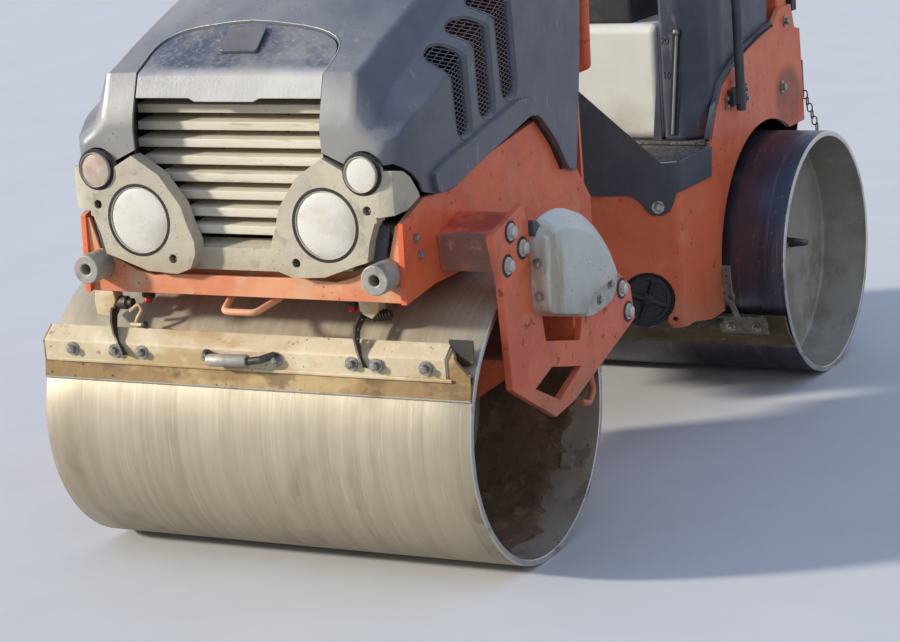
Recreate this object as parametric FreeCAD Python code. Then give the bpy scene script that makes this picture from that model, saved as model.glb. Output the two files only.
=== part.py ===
import FreeCAD, Part
import math
import os
from FreeCAD import Vector

# Articulated tandem road roller, millimetres.
# Origin on the ground under the steering joint, -Y is the front, +X its left side, +Z up.

# Drums
DRUM_R = 360.0
DRUM_W = 1200.0
DRUM_WALL = 16.0
WHEELBASE = 1870.0
DRUM_OFFSET = 25.0
DISC_T = 15.0
DISC_INSET = 135.0
WELD_GAP = 0.3
RUN_GAP = 0.05
FRONT_Y = -WHEELBASE / 2
REAR_Y = WHEELBASE / 2
AXLE_Z = DRUM_R
DRUM_LEFT = DRUM_W / 2 - DRUM_OFFSET
DRUM_RIGHT = -DRUM_W / 2 - DRUM_OFFSET
CARRIED_DISC_X = DRUM_LEFT - 360.0

# Frames
FRAME_X = 447.0
PLATE_T = 15.0
INNER_X = FRAME_X - PLATE_T
ARCH_R = DRUM_R + 35.0
NOSE_Y = -1298.0
REAR_END_Y = 1260.0
REACH = 72.0
BULKHEAD_Y = -500.0
FIREWALL_TOP = 1405.0
REAR_WALL_Y = -320.0
REAR_WALL_TOP = 1350.0
YOKE_Y = 400.0
CROSSBAR_BOTTOM = 722.0
CROSSBAR_T = 12.0
WEB_DEPTH = 60.0
DECK_TOP = 802.0
DECK_T = 10.0
PLATE_TOP = 745.0
FLOOR_TOP = 757.0
FLOOR_T = 10.0
REAR_DECK_TOP = 768.0
WIDE_Y = 505.0

# Rear frame's slanted front: distance inwards along the slant is s, from the corner at BEND_Y
BEND_Y = 262.0
BEND_R = 40.0
SLANT_X = 0.878
SLANT_Y = 0.479
SLANT_END = 330.0
CAP_S = 105.0
CAP_Z = 370.0
CAP_R = 70.0

# Steering joint
JOINT_Z = 450.0
PIN_R = 35.0
LUG_R = 100.0
LUG_T = 40.0
LINK_R = 85.0
LINK_H = 130.0
LUG_GAP = 5.0
SPINE_X = 45.0
LEVER_X = -120.0
CYLINDER_X = -112.0
CYLINDER_R = 28.0
ROD_R = 14.0
EYE_PIN_R = 11.0
EYE_R = 32.0
EYE_T = 20.0
SHAFT_END_Y = 330.0
HOUSING_R = 80.0
HOUSING_FRONT_Y = 165.0
HOUSING_REAR_Y = 320.0

# One-sided drum carriers
ARM_T = 20.0
ARM_X = DRUM_LEFT + 15.0 + ARM_T
COVER_T = 45.0
HUB_R = 110.0
AXLE_R = 60.0

# Hood
HOOD_X = 458.0
HOOD_WALL = 6.0
HOOD_LIP = 13.0
RIDGE_X = 345.0
HOOD_HINGE_Y = REAR_WALL_Y
HOOD_HINGE_Z = 1425.0
HINGE_PIN_R = 8.0
HINGE_X = 200.0
OPENING_X = 258.0
OPENING_TOP = 1201.0
HOOD_NOSE_Y = -1318.0
SLAT_PITCH = 40.5
SLAT_TOP_Z = 1170.0
SLAT_DEPTH = 95.0
SLAT_Y = -1240.0
SLAT_SLOPE = 0.13

# Operator's place
CONSOLE_X = 190.0
TANK_X = 300.0
TANK_FRONT_Y = WIDE_Y + 10
TANK_REAR_Y = 930.0
TANK_TOP = 1105.0
SHELL_TOP = 1240.0
SEAT_Z = 1190.0
WHEEL_R = 185.0
ROPS_TOP = 2400.0
ROPS_X = 392.0
ROPS_Y = REAR_END_Y - 106.0
ROPS_TUBE = 80.0
RAIL_R = 14.0


def box(x0, x1, y0, y1, z0, z1):
    """Block between two corners."""
    return Part.makeBox(x1 - x0, y1 - y0, z1 - z0, Vector(x0, y0, z0))


def cyl_x(x0, x1, y, z, r):
    """Round bar along X."""
    return Part.makeCylinder(r, x1 - x0, Vector(x0, y, z), Vector(1, 0, 0))


def cyl_y(y0, y1, x, z, r):
    """Round bar along Y."""
    return Part.makeCylinder(r, y1 - y0, Vector(x, y0, z), Vector(0, 1, 0))


def cyl_z(z0, z1, x, y, r):
    """Round bar along Z."""
    return Part.makeCylinder(r, z1 - z0, Vector(x, y, z0), Vector(0, 0, 1))


def prism(points, direction):
    """Straight prism on a closed outline of 3-D points."""
    corners = [Vector(*p) for p in points]
    wire = Part.makePolygon(corners + [corners[0]])
    return Part.Face(wire).extrude(Vector(*direction))


def side_plate(outline, x0, x1):
    """Plate whose (y, z) outline stands across X."""
    return prism([(x0, y, z) for y, z in outline], (x1 - x0, 0, 0))


def flat_plate(outline, z0, z1):
    """Plate whose (x, y) outline lies level."""
    return prism([(x, y, z0) for x, y in outline], (0, 0, z1 - z0))


def cross_plate(outline, y0, y1):
    """Plate whose (x, z) outline stands across Y."""
    return prism([(x, y0, z) for x, z in outline], (0, y1 - y0, 0))


def rod(points, r):
    """Round rod along straight runs, with round knees."""
    solid = None
    for start, end in zip(points, points[1:]):
        a = Vector(*start)
        run = Vector(*end) - a
        piece = Part.makeCylinder(r, run.Length, a, run)
        solid = piece if solid is None else solid.fuse(piece)
    for knee in points[1:-1]:
        solid = solid.fuse(Part.makeSphere(r, Vector(*knee)))
    return solid.removeSplitter()


def mirror(shape):
    """The same piece on the machine's other side."""
    return shape.mirror(Vector(0, 0, 0), Vector(1, 0, 0))


def both(shape):
    """A piece and its mirror image, as two separate solids."""
    return Part.makeCompound([shape, mirror(shape)])


def joined_both(shape):
    """A piece fused with its mirror image."""
    return shape.fuse(mirror(shape)).removeSplitter()


def half_turn(shape):
    """The piece turned half way round the steering axis."""
    turned = shape.copy()
    turned.rotate(Vector(0, 0, 0), Vector(0, 0, 1), 180)
    return turned


def save(name, shape):
    """Write one piece as its own file."""
    shape.exportStep("parts/" + name + ".step")


# Front frame

def front_side_plates():
    outline = [
        (NOSE_Y - 4, 910), (NOSE_Y - 15, CROSSBAR_BOTTOM), (-1166, 741), (FRONT_Y, 741), (FRONT_Y, 300),
        (-306, 300), (-306, 777), (-498, 1008), (-592, 1025), (-1077, 960), (-1140, 946), (-1192, 950),
    ]
    plate = side_plate(outline, INNER_X, FRAME_X)
    arch = cyl_x(INNER_X - PLATE_T, FRAME_X + PLATE_T, FRONT_Y, AXLE_Z, ARCH_R)
    bumper = cyl_y(NOSE_Y - 50, NOSE_Y, BUMPER_X, BUMPER_Z, BUMPER_R + WELD_GAP)
    return both(plate.cut(arch).cut(bumper))


def front_chassis():
    wall = joined_both(cross_plate([(0, 300), (INNER_X, 300), (INNER_X, 1320), (345, FIREWALL_TOP),
                                    (0, FIREWALL_TOP)], BULKHEAD_Y - PLATE_T, BULKHEAD_Y))
    deck = box(-INNER_X, INNER_X, NOSE_Y + WEB_DEPTH, BULKHEAD_Y - PLATE_T, DECK_TOP - DECK_T, DECK_TOP)
    shelf = box(-INNER_X, INNER_X, BULKHEAD_Y, REAR_WALL_Y, 777, 787)
    rear_wall = box(-INNER_X, INNER_X, REAR_WALL_Y, REAR_WALL_Y + 12, 777, REAR_WALL_TOP)
    arm = side_plate([(BULKHEAD_Y, FIREWALL_TOP - 90), (BULKHEAD_Y, FIREWALL_TOP),
                      (HOOD_HINGE_Y - 5, HOOD_HINGE_Z + 14), (HOOD_HINGE_Y + 13, HOOD_HINGE_Z),
                      (HOOD_HINGE_Y - 5, HOOD_HINGE_Z - 14)], HINGE_X, HINGE_X + 12)
    pin = cyl_x(HINGE_X - 15, HINGE_X, HOOD_HINGE_Y, HOOD_HINGE_Z, HINGE_PIN_R)
    arms = both(arm.fuse(pin))
    return wall.fuse(deck).fuse(shelf).fuse(rear_wall).fuse(arms).removeSplitter()


CROSSBAR_EDGE = [(0, 770), (157, 772), (253, 766), (303, 779), (345, 800), (374, 812), (378, 828),
                 (402, 828), (424, 905)]


def front_crossbar():
    edge = CROSSBAR_EDGE + [(INNER_X, 905), (INNER_X, CROSSBAR_BOTTOM), (0, CROSSBAR_BOTTOM)]
    face = joined_both(cross_plate(edge, NOSE_Y, NOSE_Y + CROSSBAR_T))
    foot = box(-INNER_X, INNER_X, NOSE_Y, NOSE_Y + WEB_DEPTH, CROSSBAR_BOTTOM, CROSSBAR_BOTTOM + CROSSBAR_T)
    web = box(-INNER_X, INNER_X, NOSE_Y + WEB_DEPTH - CROSSBAR_T, NOSE_Y + WEB_DEPTH, CROSSBAR_BOTTOM,
              DECK_TOP - DECK_T)
    return face.fuse(foot).fuse(web).removeSplitter()


BUMPER_X = 399.0
BUMPER_Z = 791.0
BUMPER_R = 36.0
BUMPER_HOLE_R = 13.0


def bumper_cylinders():
    solid = cyl_y(NOSE_Y - REACH, NOSE_Y, BUMPER_X, BUMPER_Z, BUMPER_R)
    hole = cyl_y(NOSE_Y - REACH - 1, NOSE_Y + 1, BUMPER_X, BUMPER_Z, BUMPER_HOLE_R)
    return both(solid.cut(hole))


def tow_loop():
    top = CROSSBAR_BOTTOM - 8
    return rod([(-60, NOSE_Y + 40, top), (-45, NOSE_Y - 30, top - 22),
                (45, NOSE_Y - 30, top - 22), (75, NOSE_Y + 40, top)], 8)


def front_hitch():
    half = LINK_H / 2 + LUG_GAP
    solid = None
    for z0 in (JOINT_Z + half, JOINT_Z - half - LUG_T):
        bar = box(-LUG_R, LUG_R, BULKHEAD_Y, 0, z0, z0 + LUG_T)
        lug = bar.fuse(cyl_z(z0, z0 + LUG_T, 0, 0, LUG_R))
        solid = lug if solid is None else solid.fuse(lug)
    spine = box(-SPINE_X, SPINE_X, BULKHEAD_Y, -LUG_R - 30, JOINT_Z - half, JOINT_Z + half)
    solid = solid.fuse(spine)
    bore = cyl_z(JOINT_Z - 200, JOINT_Z + 200, 0, 0, PIN_R + RUN_GAP)
    return solid.cut(bore).removeSplitter()


def steering_pin():
    half = LINK_H / 2 + LUG_GAP + LUG_T
    pin = cyl_z(JOINT_Z - half - 20, JOINT_Z + half, 0, 0, PIN_R)
    head = cyl_z(JOINT_Z + half, JOINT_Z + half + 15, 0, 0, PIN_R + 18)
    return pin.fuse(head)


def engine_block():
    block = box(-230, 230, -1000, -560, DECK_TOP, DECK_TOP + 420)
    head = box(-170, 170, -960, -620, DECK_TOP + 420, DECK_TOP + 470)
    return block.fuse(head).removeSplitter()


def radiator():
    return box(-240, 240, -1140, -1060, DECK_TOP, DECK_TOP + 380)


# Headlamp panels: (x, z) outline of the machine's left one, seen from the front
LAMP_Y = -1339.0
PANEL_Y = -1329.0
PANEL_T = 40.0
LAMP_PANEL = [
    (107, 828), (107, 860), (124, 903), (136, 945), (190, 1018), (262, 1064), (316, 1035), (470, 1035),
    (470, 925), (425, 920), (389, 915), (372, 870), (362, 823), (332, 814), (245, 784), (160, 780),
    (124, 793),
]
# The panel's ear bends back round the frame's corner: (x, y) of its outer face, (y, z) seen from the side
EAR_PLAN = [(100, PANEL_Y), (405, PANEL_Y), (438, PANEL_Y + 11), (457, PANEL_Y + 36), (462, -1237)]
EAR_SIDE = [(-1340, 925), (-1340, 1040), (-1297, 1032), (-1271, 1014), (-1242, 974), (-1237, 962), (-1283, 944)]
# Lamps and panel holes: x, z, radius
BIG_LAMP = (258.0, 908.0, 78.0)
CORNER_LAMP = (366.0, 1029.0, 40.0)
PANEL_HOLES = ((372, 944, 11), (171, 816, 11))
LIP_X = 150.0


def headlamp_panels():
    back = PANEL_Y + PANEL_T
    inner = [(438, -1237), (436, PANEL_Y + 50), (424, back - 8), (405, back), (100, back)]
    band = flat_plate(EAR_PLAN + inner, 770, 1080)
    reach = box(100, 395, PANEL_Y - 5, back + 5, 770, 1080).fuse(side_plate(EAR_SIDE, 380, 480))
    panel = band.common(cross_plate(LAMP_PANEL, PANEL_Y - 5, -1230)).common(reach)
    for x, z, r in (BIG_LAMP, CORNER_LAMP):
        panel = panel.cut(cyl_y(LAMP_Y - 5, back + 5, x, z, r + 0.3))
    for x, z, r in PANEL_HOLES:
        panel = panel.cut(cyl_y(LAMP_Y, back + 5, x, z, r))
    rear = NOSE_Y + WEB_DEPTH
    foot = DECK_TOP - DECK_T
    lip = side_plate([(back - 2, 785), (back - 2, 838), (rear, 852), (rear, foot), (back + 20, foot),
                      (back + 20, 785)], -LIP_X, LIP_X)
    shelf = box(-LIP_X * 2, LIP_X * 2, back - 2, rear, foot, DECK_TOP)
    return joined_both(panel).fuse(lip).fuse(shelf).removeSplitter()


def headlamps():
    lamps = []
    for x, z, r in (BIG_LAMP, CORNER_LAMP):
        lamps.append(cyl_y(LAMP_Y, PANEL_Y + PANEL_T, x, z, r))
    group = Part.makeCompound(lamps)
    return Part.makeCompound([group, mirror(group)])


# Arm plate: (y, z) outline of the front one, on the machine's left
ARM_OUTLINE = [
    (-1180, 856), (-1014, 903), (-1007, 881), (-985, 700), (-780, 690), (-513, 625),
    (-446, 576), (-429, 486), (-807, 370), (-915, 357), (-1121, 473), (-1131, 482), (-1147, 738),
]
ARM_WINDOWS = [
    [(-954, 617), (-737, 562), (-757, 509), (-942, 553)],
    [(-920, 483), (-761, 444), (-889, 393), (-1013, 453)],
]
BEAM_OUTLINE = [(-1140, 765), (-1150, 850), (-1025, 885), (-1010, 800), (-1010, 765)]
# Box that reaches from the arm into the drum to the hub: (x, z) seen from the front
CARRIER_X = CARRIED_DISC_X + DISC_T + 60.0
CARRIER_OUTLINE = [(CARRIER_X, 392), (CARRIER_X, 544), (ARM_X - ARM_T, 544), (ARM_X - ARM_T, 515),
                   (ARM_X - 143, 435), (ARM_X - 210, 392)]
CARRIER_FRONT_Y = -1104.0


def front_arm():
    plate = side_plate(ARM_OUTLINE, ARM_X - ARM_T, ARM_X)
    for window in ARM_WINDOWS:
        plate = plate.cut(side_plate(window, ARM_X - 2 * ARM_T, ARM_X + ARM_T))
    beam = side_plate(BEAM_OUTLINE, FRAME_X, ARM_X - ARM_T)
    gusset = box(ARM_X - 140, ARM_X - ARM_T, -747, -735, 500, 600)
    return plate.fuse(beam).fuse(gusset).removeSplitter()


# Motor cover: the same corners on the plate and on the cover's outer face, which is smaller at the top
COVER_FOOT = [(-1000, 634), (-998, 820), (-955, 852), (-870, 859), (-811, 850), (-708, 812), (-637, 763),
              (-568, 695), (-524, 622), (-557, 567), (-696, 555)]
COVER_FACE = [(-1000, 634), (-1000, 812), (-985, 818), (-923, 824), (-849, 814), (-746, 779), (-690, 735),
              (-635, 680), (-600, 625), (-630, 585), (-696, 560)]


def front_motor_cover():
    wires = []
    for outline, x in ((COVER_FOOT, ARM_X), (COVER_FACE, ARM_X + COVER_T)):
        corners = [Vector(x, y, z) for y, z in outline]
        wires.append(Part.makePolygon(corners + corners[:1]))
    return Part.makeLoft(wires, True, True)


def front_hub_motor():
    flange_x = CARRIED_DISC_X + DISC_T + 5
    hub = cyl_x(flange_x + 20, flange_x + 95, FRONT_Y, AXLE_Z, HUB_R)
    flange = cyl_x(flange_x, flange_x + 20, FRONT_Y, AXLE_Z, HUB_R + 40)
    axle = cyl_x(CARRIED_DISC_X - 45, flange_x, FRONT_Y, AXLE_Z, AXLE_R)
    carrier = cross_plate(CARRIER_OUTLINE, CARRIER_FRONT_Y, FRONT_Y + 5)
    foot = box(CARRIER_X, flange_x + 95, FRONT_Y - HUB_R, FRONT_Y + 75, 290, 544)
    return hub.fuse(flange).fuse(axle).fuse(carrier).fuse(foot).removeSplitter()


# Drums, drawn for the front one: carried at its left end, open at its right end

def front_drum_shell():
    shell = cyl_x(DRUM_RIGHT, DRUM_LEFT, FRONT_Y, AXLE_Z, DRUM_R)
    return shell.cut(cyl_x(DRUM_RIGHT - 1, DRUM_LEFT + 1, FRONT_Y, AXLE_Z, DRUM_R - DRUM_WALL))


def front_drum_discs():
    r = DRUM_R - DRUM_WALL - WELD_GAP
    carried = cyl_x(CARRIED_DISC_X, CARRIED_DISC_X + DISC_T, FRONT_Y, AXLE_Z, r)
    bore = cyl_x(CARRIED_DISC_X - 1, CARRIED_DISC_X + DISC_T + 1, FRONT_Y, AXLE_Z, AXLE_R + RUN_GAP)
    free_x = DRUM_RIGHT + DISC_INSET
    free = cyl_x(free_x, free_x + DISC_T, FRONT_Y, AXLE_Z, r)
    return Part.makeCompound([carried.cut(bore), free])


# Scrapers: blade section by angle round the drum and distance from its axis
SCRAPER_GAP = 0.5


def drum_point(axle_y, angle, r, forward):
    """(y, z) at an angle above the axle's level; forward is -1 ahead of the drum, +1 behind it."""
    a = math.radians(angle)
    return (axle_y + forward * r * math.cos(a), AXLE_Z + r * math.sin(a))


def front_scraper():
    edge = DRUM_R + SCRAPER_GAP
    outline = [
        drum_point(FRONT_Y, 20.5, edge, -1), drum_point(FRONT_Y, 21.0, edge + 8, -1),
        drum_point(FRONT_Y, 29.0, edge + 22, -1), drum_point(FRONT_Y, 31.0, edge + 48, -1),
        drum_point(FRONT_Y, 40.5, edge + 34, -1), drum_point(FRONT_Y, 40.5, edge + 26, -1),
        drum_point(FRONT_Y, 31.0, edge + 14, -1),
    ]
    blade = side_plate(outline, DRUM_RIGHT, DRUM_LEFT)
    for x in (-350, 350):
        root = drum_point(FRONT_Y, 35, edge + 26, -1)
        strap = side_plate([(root[0] - 8, root[1]), (root[0] + 8, root[1]),
                            (NOSE_Y + 92, CROSSBAR_BOTTOM), (NOSE_Y + 70, CROSSBAR_BOTTOM)], x - 20, x + 20)
        blade = blade.fuse(strap)
    return blade.removeSplitter()


# Hood: heights of half a cross-section at each station along the machine, then the side's three bends
# Columns: y, height on the centre line, height at CROWN_X, ridge z, valley (x, z), shoulder (x, z)
CROWN_X = 190.0
HOOD_STATIONS = [
    (HOOD_NOSE_Y, 1143, 1143, 1141, (375, 1120), (415, 1092)),
    (-1277, 1256, 1256, 1253, (388, 1140), (445, 1104)),
    (-1225, 1294, 1288, 1273, (386, 1190), (454, 1140)),
    (-1150, 1358, 1340, 1305, (383, 1227), (HOOD_X, 1163)),
    (-1045, 1422, 1402, 1345, (381, 1275), (HOOD_X, 1208)),
    (-950, 1462, 1441, 1380, (377, 1319), (HOOD_X, 1249)),
    (-800, 1500, 1483, 1430, (371, 1389), (HOOD_X, 1315)),
    (-640, 1522, 1508, 1462, (368, 1428), (HOOD_X, 1362)),
    (-440, 1530, 1518, 1476, (368, 1446), (HOOD_X, 1385)),
    (-262, 1500, 1490, 1450, (368, 1420), (HOOD_X, 1360)),
]
# Lower edge, from the front corner round the lamp panel and along the frame plate: (y, z)
HOOD_EDGE = [
    (-1330, 1047), (-1295, 1048), (-1247, 1018), (-1218, 989), (-1207, 966), (-1160, 953), (-1091, 950),
    (-979, 978), (-848, 1007), (-661, 1047), (-617, 1040), (-571, 1002), (-521, 952), (-470, 880),
    (-400, 860), (-340, 1141), (-318, 1286), (-262, 1330),
]
# Raised lip along that edge: (y, z)
LIP_OUTLINE = [
    (-1172, 999), (-1160, 953), (-1091, 950), (-979, 978), (-848, 1007), (-661, 1047), (-617, 1040),
    (-571, 1002), (-521, 952), (-470, 880), (-430, 870), (-500, 982), (-558, 1049), (-631, 1090),
    (-714, 1096), (-1104, 1021),
]


def hood_body(inset):
    """Hood volume before its openings, smaller by inset on every side and open below."""
    wires = []
    for y, middle, crown, ridge, valley, shoulder in HOOD_STATIONS:
        half = [(CROWN_X - inset, crown - inset), (RIDGE_X - inset, ridge - inset),
                (valley[0] - inset, valley[1] - inset), (shoulder[0] - inset, shoulder[1] - inset),
                (shoulder[0] - inset, 820)]
        outline = [(0, middle - inset)] + half + [(-x, z) for x, z in reversed(half)]
        corners = [Vector(x, y + inset, z) for x, z in outline]
        wires.append(Part.makePolygon(corners + corners[:1]))
    return Part.makeLoft(wires, True, True)


# Side vents: (y, z) outline, comma shaped
VENTS = [
    [(-1054, 1252), (-1015, 1272), (-982, 1272), (-962, 1250), (-955, 1069), (-970, 1057), (-1005, 1057),
     (-1022, 1075), (-1034, 1215)],
    [(-944, 1298), (-905, 1318), (-860, 1318), (-836, 1295), (-828, 1099), (-842, 1082), (-882, 1082),
     (-905, 1100), (-909, 1268)],
    [(-835, 1347), (-790, 1366), (-735, 1362), (-712, 1330), (-705, 1127), (-722, 1107), (-762, 1107),
     (-783, 1127), (-794, 1315)],
]
VENT_DEPTH_X = 380.0
SCREEN_T = 2.7


def hood_shell():
    shell = hood_body(0).cut(hood_body(HOOD_WALL))
    below = side_plate(HOOD_EDGE + [(-262, 800), (-1330, 800)], -HOOD_X - 1, HOOD_X + 1)
    shell = shell.cut(below)
    shell = shell.cut(box(-HOOD_X + HOOD_WALL, HOOD_X - HOOD_WALL, -275, -250, 800, FIREWALL_TOP))
    shell = shell.cut(box(-OPENING_X, OPENING_X, -1340, -1240, 900, OPENING_TOP))
    lamp_x, lamp_z, lamp_r = CORNER_LAMP
    corner = cross_plate([(OPENING_X - 1, 1000), (OPENING_X - 1, 1079), (lamp_x - lamp_r, lamp_z + 16),
                          (lamp_x, 1000)], -1340, -1270)
    corner = corner.fuse(cyl_y(-1345, -1270, lamp_x, lamp_z, lamp_r + 12))
    shell = shell.cut(corner).cut(mirror(corner))
    for outline in VENTS:
        cutter = side_plate(outline, VENT_DEPTH_X, HOOD_X + 5)
        shell = shell.cut(cutter).cut(mirror(cutter))
    lip = side_plate(LIP_OUTLINE, HOOD_X - HOOD_WALL, HOOD_X + HOOD_LIP)
    lug = side_plate([(HOOD_HINGE_Y - 26, HOOD_HINGE_Z + 70), (HOOD_HINGE_Y + 22, HOOD_HINGE_Z + 60),
                      (HOOD_HINGE_Y + 14, HOOD_HINGE_Z - 12), (HOOD_HINGE_Y - 14, HOOD_HINGE_Z - 12)],
                     HINGE_X - 13, HINGE_X - 3)
    bore = cyl_x(HINGE_X - 20, HINGE_X, HOOD_HINGE_Y, HOOD_HINGE_Z, HINGE_PIN_R + RUN_GAP)
    shell = shell.fuse(both(lip)).fuse(both(lug.common(hood_body(0))))
    return shell.cut(both(bore)).removeSplitter()


def vent_screens():
    """Sheets inside the shell behind the vents, bent along the shoulder like it."""
    depth = HOOD_WALL + WELD_GAP
    layer = hood_body(depth).cut(hood_body(depth + SCREEN_T))
    solid = None
    for outline in VENTS:
        low_y = min(y for y, z in outline) - 6
        high_y = max(y for y, z in outline) + 6
        low_z = min(z for y, z in outline) - 8
        high_z = max(z for y, z in outline) + 6
        piece = layer.common(box(VENT_DEPTH_X - 5, HOOD_X, low_y, high_y, low_z, high_z))
        solid = piece if solid is None else solid.fuse(piece)
    solid = solid.removeSplitter()
    return Part.makeCompound([solid, mirror(solid)])


def slat_y(z):
    """Depth of the slats' front edges at a height."""
    return SLAT_Y - (SLAT_TOP_Z - z) * SLAT_SLOPE


# Half lengths of the slats from the top one down
SLAT_HALVES = (290, 290, 290, 274, 231, 192, 157, 144)


def grille_slats():
    solid = None
    low, high = DECK_TOP, SLAT_TOP_Z
    for x in (-90, 90):
        front = [(slat_y(z) + SLAT_DEPTH - 35, z) for z in (low, high)]
        rear = [(slat_y(z) + SLAT_DEPTH - 5, z) for z in (high, low)]
        stay = side_plate(front + rear, x - 6, x + 6)
        solid = stay if solid is None else solid.fuse(stay)
    for i, half in enumerate(SLAT_HALVES):
        z = SLAT_TOP_Z - i * SLAT_PITCH
        y = slat_y(z)
        outline = [(y, z - 19), (y, z + 3), (y + SLAT_DEPTH, z + 13), (y + SLAT_DEPTH, z + 7), (y + 6, z - 19)]
        solid = solid.fuse(side_plate(outline, -half, half))
    return solid.removeSplitter()


# Rear frame

def slant_point(along, out):
    """(x, y) of a point along the left slanted face from its corner, and that far outside it."""
    return (FRAME_X - SLANT_X * along + SLANT_Y * out, BEND_Y - SLANT_Y * along - SLANT_X * out)


def front_line(out, slant_end, side_end):
    """Plan line of the left plate's outer face moved outwards: slanted front, round bend, straight side."""
    turn = math.acos(SLANT_Y)
    centre = (FRAME_X - BEND_R, BEND_Y + BEND_R * math.tan(turn / 2))
    line = [slant_point(slant_end, out)]
    for step in range(5):
        a = -turn * (1 - step / 4)
        r = BEND_R + out
        line.append((centre[0] + r * math.cos(a), centre[1] + r * math.sin(a)))
    return line + [(FRAME_X + out, side_end)]


def front_band(inner, outer, slant_end, side_end, z0, z1):
    """Bent plate between two distances from that face."""
    outline = front_line(outer, slant_end, side_end) + front_line(inner, slant_end, side_end)[::-1]
    return flat_plate(outline, z0, z1)


def slant_outline(points):
    """Prism through the slanted front on an outline of (distance along it, height)."""
    corners = [slant_point(along, 60) + (z,) for along, z in points]
    return prism(corners, (-SLANT_Y * 120, SLANT_X * 120, 0))


def slant_round(along, z, r, out0, out1):
    """Round bar square to the slanted face between two distances outside it."""
    x, y = slant_point(along, out1)
    return Part.makeCylinder(r, out1 - out0, Vector(x, y, z), Vector(-SLANT_Y, SLANT_X, 0))


REAR_PROFILE = [
    (BEND_Y - 20, PLATE_TOP), (WIDE_Y, PLATE_TOP), (565, 850), (619, 913), (699, 947), (790, 980),
    (905, 1001), (REAR_END_Y - 230, 1027), (REAR_END_Y - 166, 1069), (REAR_END_Y - 73, 1069),
    (REAR_END_Y - 49, 995), (REAR_END_Y - 7, 986),
    (REAR_END_Y, 777), (REAR_END_Y, 700), (REAR_Y, 700), (REAR_Y, 264), (449, 262), (326, 284),
    (BEND_Y - 20, 284),
]
# Slanted front with its arch for the cap: (distance along it, height)
SLANT_PROFILE = [(-5, 284), (-5, PLATE_TOP), (SLANT_END, PLATE_TOP), (SLANT_END, 300), (184, 300),
                 (184, CAP_Z), (50, CAP_Z), (50, 300), (35, 284)]


def rear_side_plates():
    plan = front_band(-PLATE_T, 0, SLANT_END, REAR_END_Y, 200, 1100)
    side = side_plate(REAR_PROFILE, INNER_X - BEND_R, FRAME_X + PLATE_T)
    side = side.common(box(0, FRAME_X + PLATE_T, BEND_Y - 5, REAR_END_Y, 200, 1100))
    plate = plan.common(side.fuse(slant_outline(SLANT_PROFILE)))
    plate = plate.cut(cyl_x(INNER_X - PLATE_T, FRAME_X + PLATE_T, REAR_Y, AXLE_Z, ARCH_R))
    plate = plate.cut(slant_round(CAP_S, CAP_Z, CAP_R + 9, -PLATE_T - 5, 5))
    plate = plate.cut(slant_round(29, 311, 8, -PLATE_T - 5, 5))
    return both(plate.removeSplitter())


def rear_yoke():
    wall = box(-INNER_X, INNER_X, YOKE_Y, YOKE_Y + PLATE_T, 275, PLATE_TOP)
    housing = cyl_y(HOUSING_FRONT_Y, HOUSING_REAR_Y, 0, JOINT_Z, HOUSING_R)
    solid = wall.fuse(housing)
    for side in (-1, 1):
        x0, x1 = sorted((side * (HOUSING_R - 15), side * (HOUSING_R + 10)))
        solid = solid.fuse(box(x0, x1, HOUSING_FRONT_Y, YOKE_Y, JOINT_Z - 100, JOINT_Z + 100))
    bore = cyl_y(HOUSING_FRONT_Y - 1, HOUSING_REAR_Y + 1, 0, JOINT_Z, PIN_R + RUN_GAP)
    return solid.cut(bore).removeSplitter()


def articulation_link():
    half = LINK_H / 2
    body = cyl_z(JOINT_Z - half, JOINT_Z + half, 0, 0, LINK_R)
    boss = cyl_y(0, HOUSING_FRONT_Y - 15, 0, JOINT_Z, half - 3)
    shaft = cyl_y(0, SHAFT_END_Y, 0, JOINT_Z, PIN_R)
    collar = cyl_y(HOUSING_REAR_Y + 5, SHAFT_END_Y + 10, 0, JOINT_Z, PIN_R + 20)
    solid = body.fuse(boss).fuse(shaft).fuse(collar)
    for z0 in (JOINT_Z - EYE_T / 2 - 5 - 12, JOINT_Z + EYE_T / 2 + 5):
        ear = box(LEVER_X, 0, -26, 26, z0, z0 + 12).fuse(cyl_z(z0, z0 + 12, LEVER_X, 0, 26))
        solid = solid.fuse(ear)
    window = box(LEVER_X - 60, -LINK_R + 15, -60, 60, JOINT_Z - EYE_T / 2 - 5, JOINT_Z + EYE_T / 2 + 5)
    pin = cyl_z(JOINT_Z - 25, JOINT_Z + 25, LEVER_X, 0, EYE_PIN_R)
    solid = solid.cut(window).fuse(pin)
    return solid.cut(cyl_z(JOINT_Z - 100, JOINT_Z + 100, 0, 0, PIN_R + RUN_GAP)).removeSplitter()


def steering_cylinder():
    barrel = cyl_y(BULKHEAD_Y, -215, CYLINDER_X, JOINT_Z, CYLINDER_R)
    return barrel.cut(cyl_y(-460, -200, CYLINDER_X, JOINT_Z, ROD_R + RUN_GAP))


def steering_rod():
    rod_bar = cyl_y(-380, -EYE_R + 6, CYLINDER_X, JOINT_Z, ROD_R)
    eye = cyl_z(JOINT_Z - EYE_T / 2, JOINT_Z + EYE_T / 2, CYLINDER_X, 0, EYE_R)
    slot = cyl_z(JOINT_Z - EYE_T, JOINT_Z + EYE_T, CYLINDER_X, 0, EYE_PIN_R + 10.5)
    return rod_bar.fuse(eye).cut(slot).removeSplitter()


def filter_caps():
    cap = slant_round(CAP_S, CAP_Z, CAP_R, -50, -PLATE_T + 7)
    return both(cap.fuse(slant_round(CAP_S, CAP_Z, CAP_R + 12, -PLATE_T - 8, -PLATE_T)))


def rear_deck():
    return box(-INNER_X, INNER_X, WIDE_Y, REAR_END_Y - PLATE_T, REAR_DECK_TOP - 10, REAR_DECK_TOP)


def rear_panel():
    return box(-INNER_X, INNER_X, REAR_END_Y - PLATE_T, REAR_END_Y, 700, 985)


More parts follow.
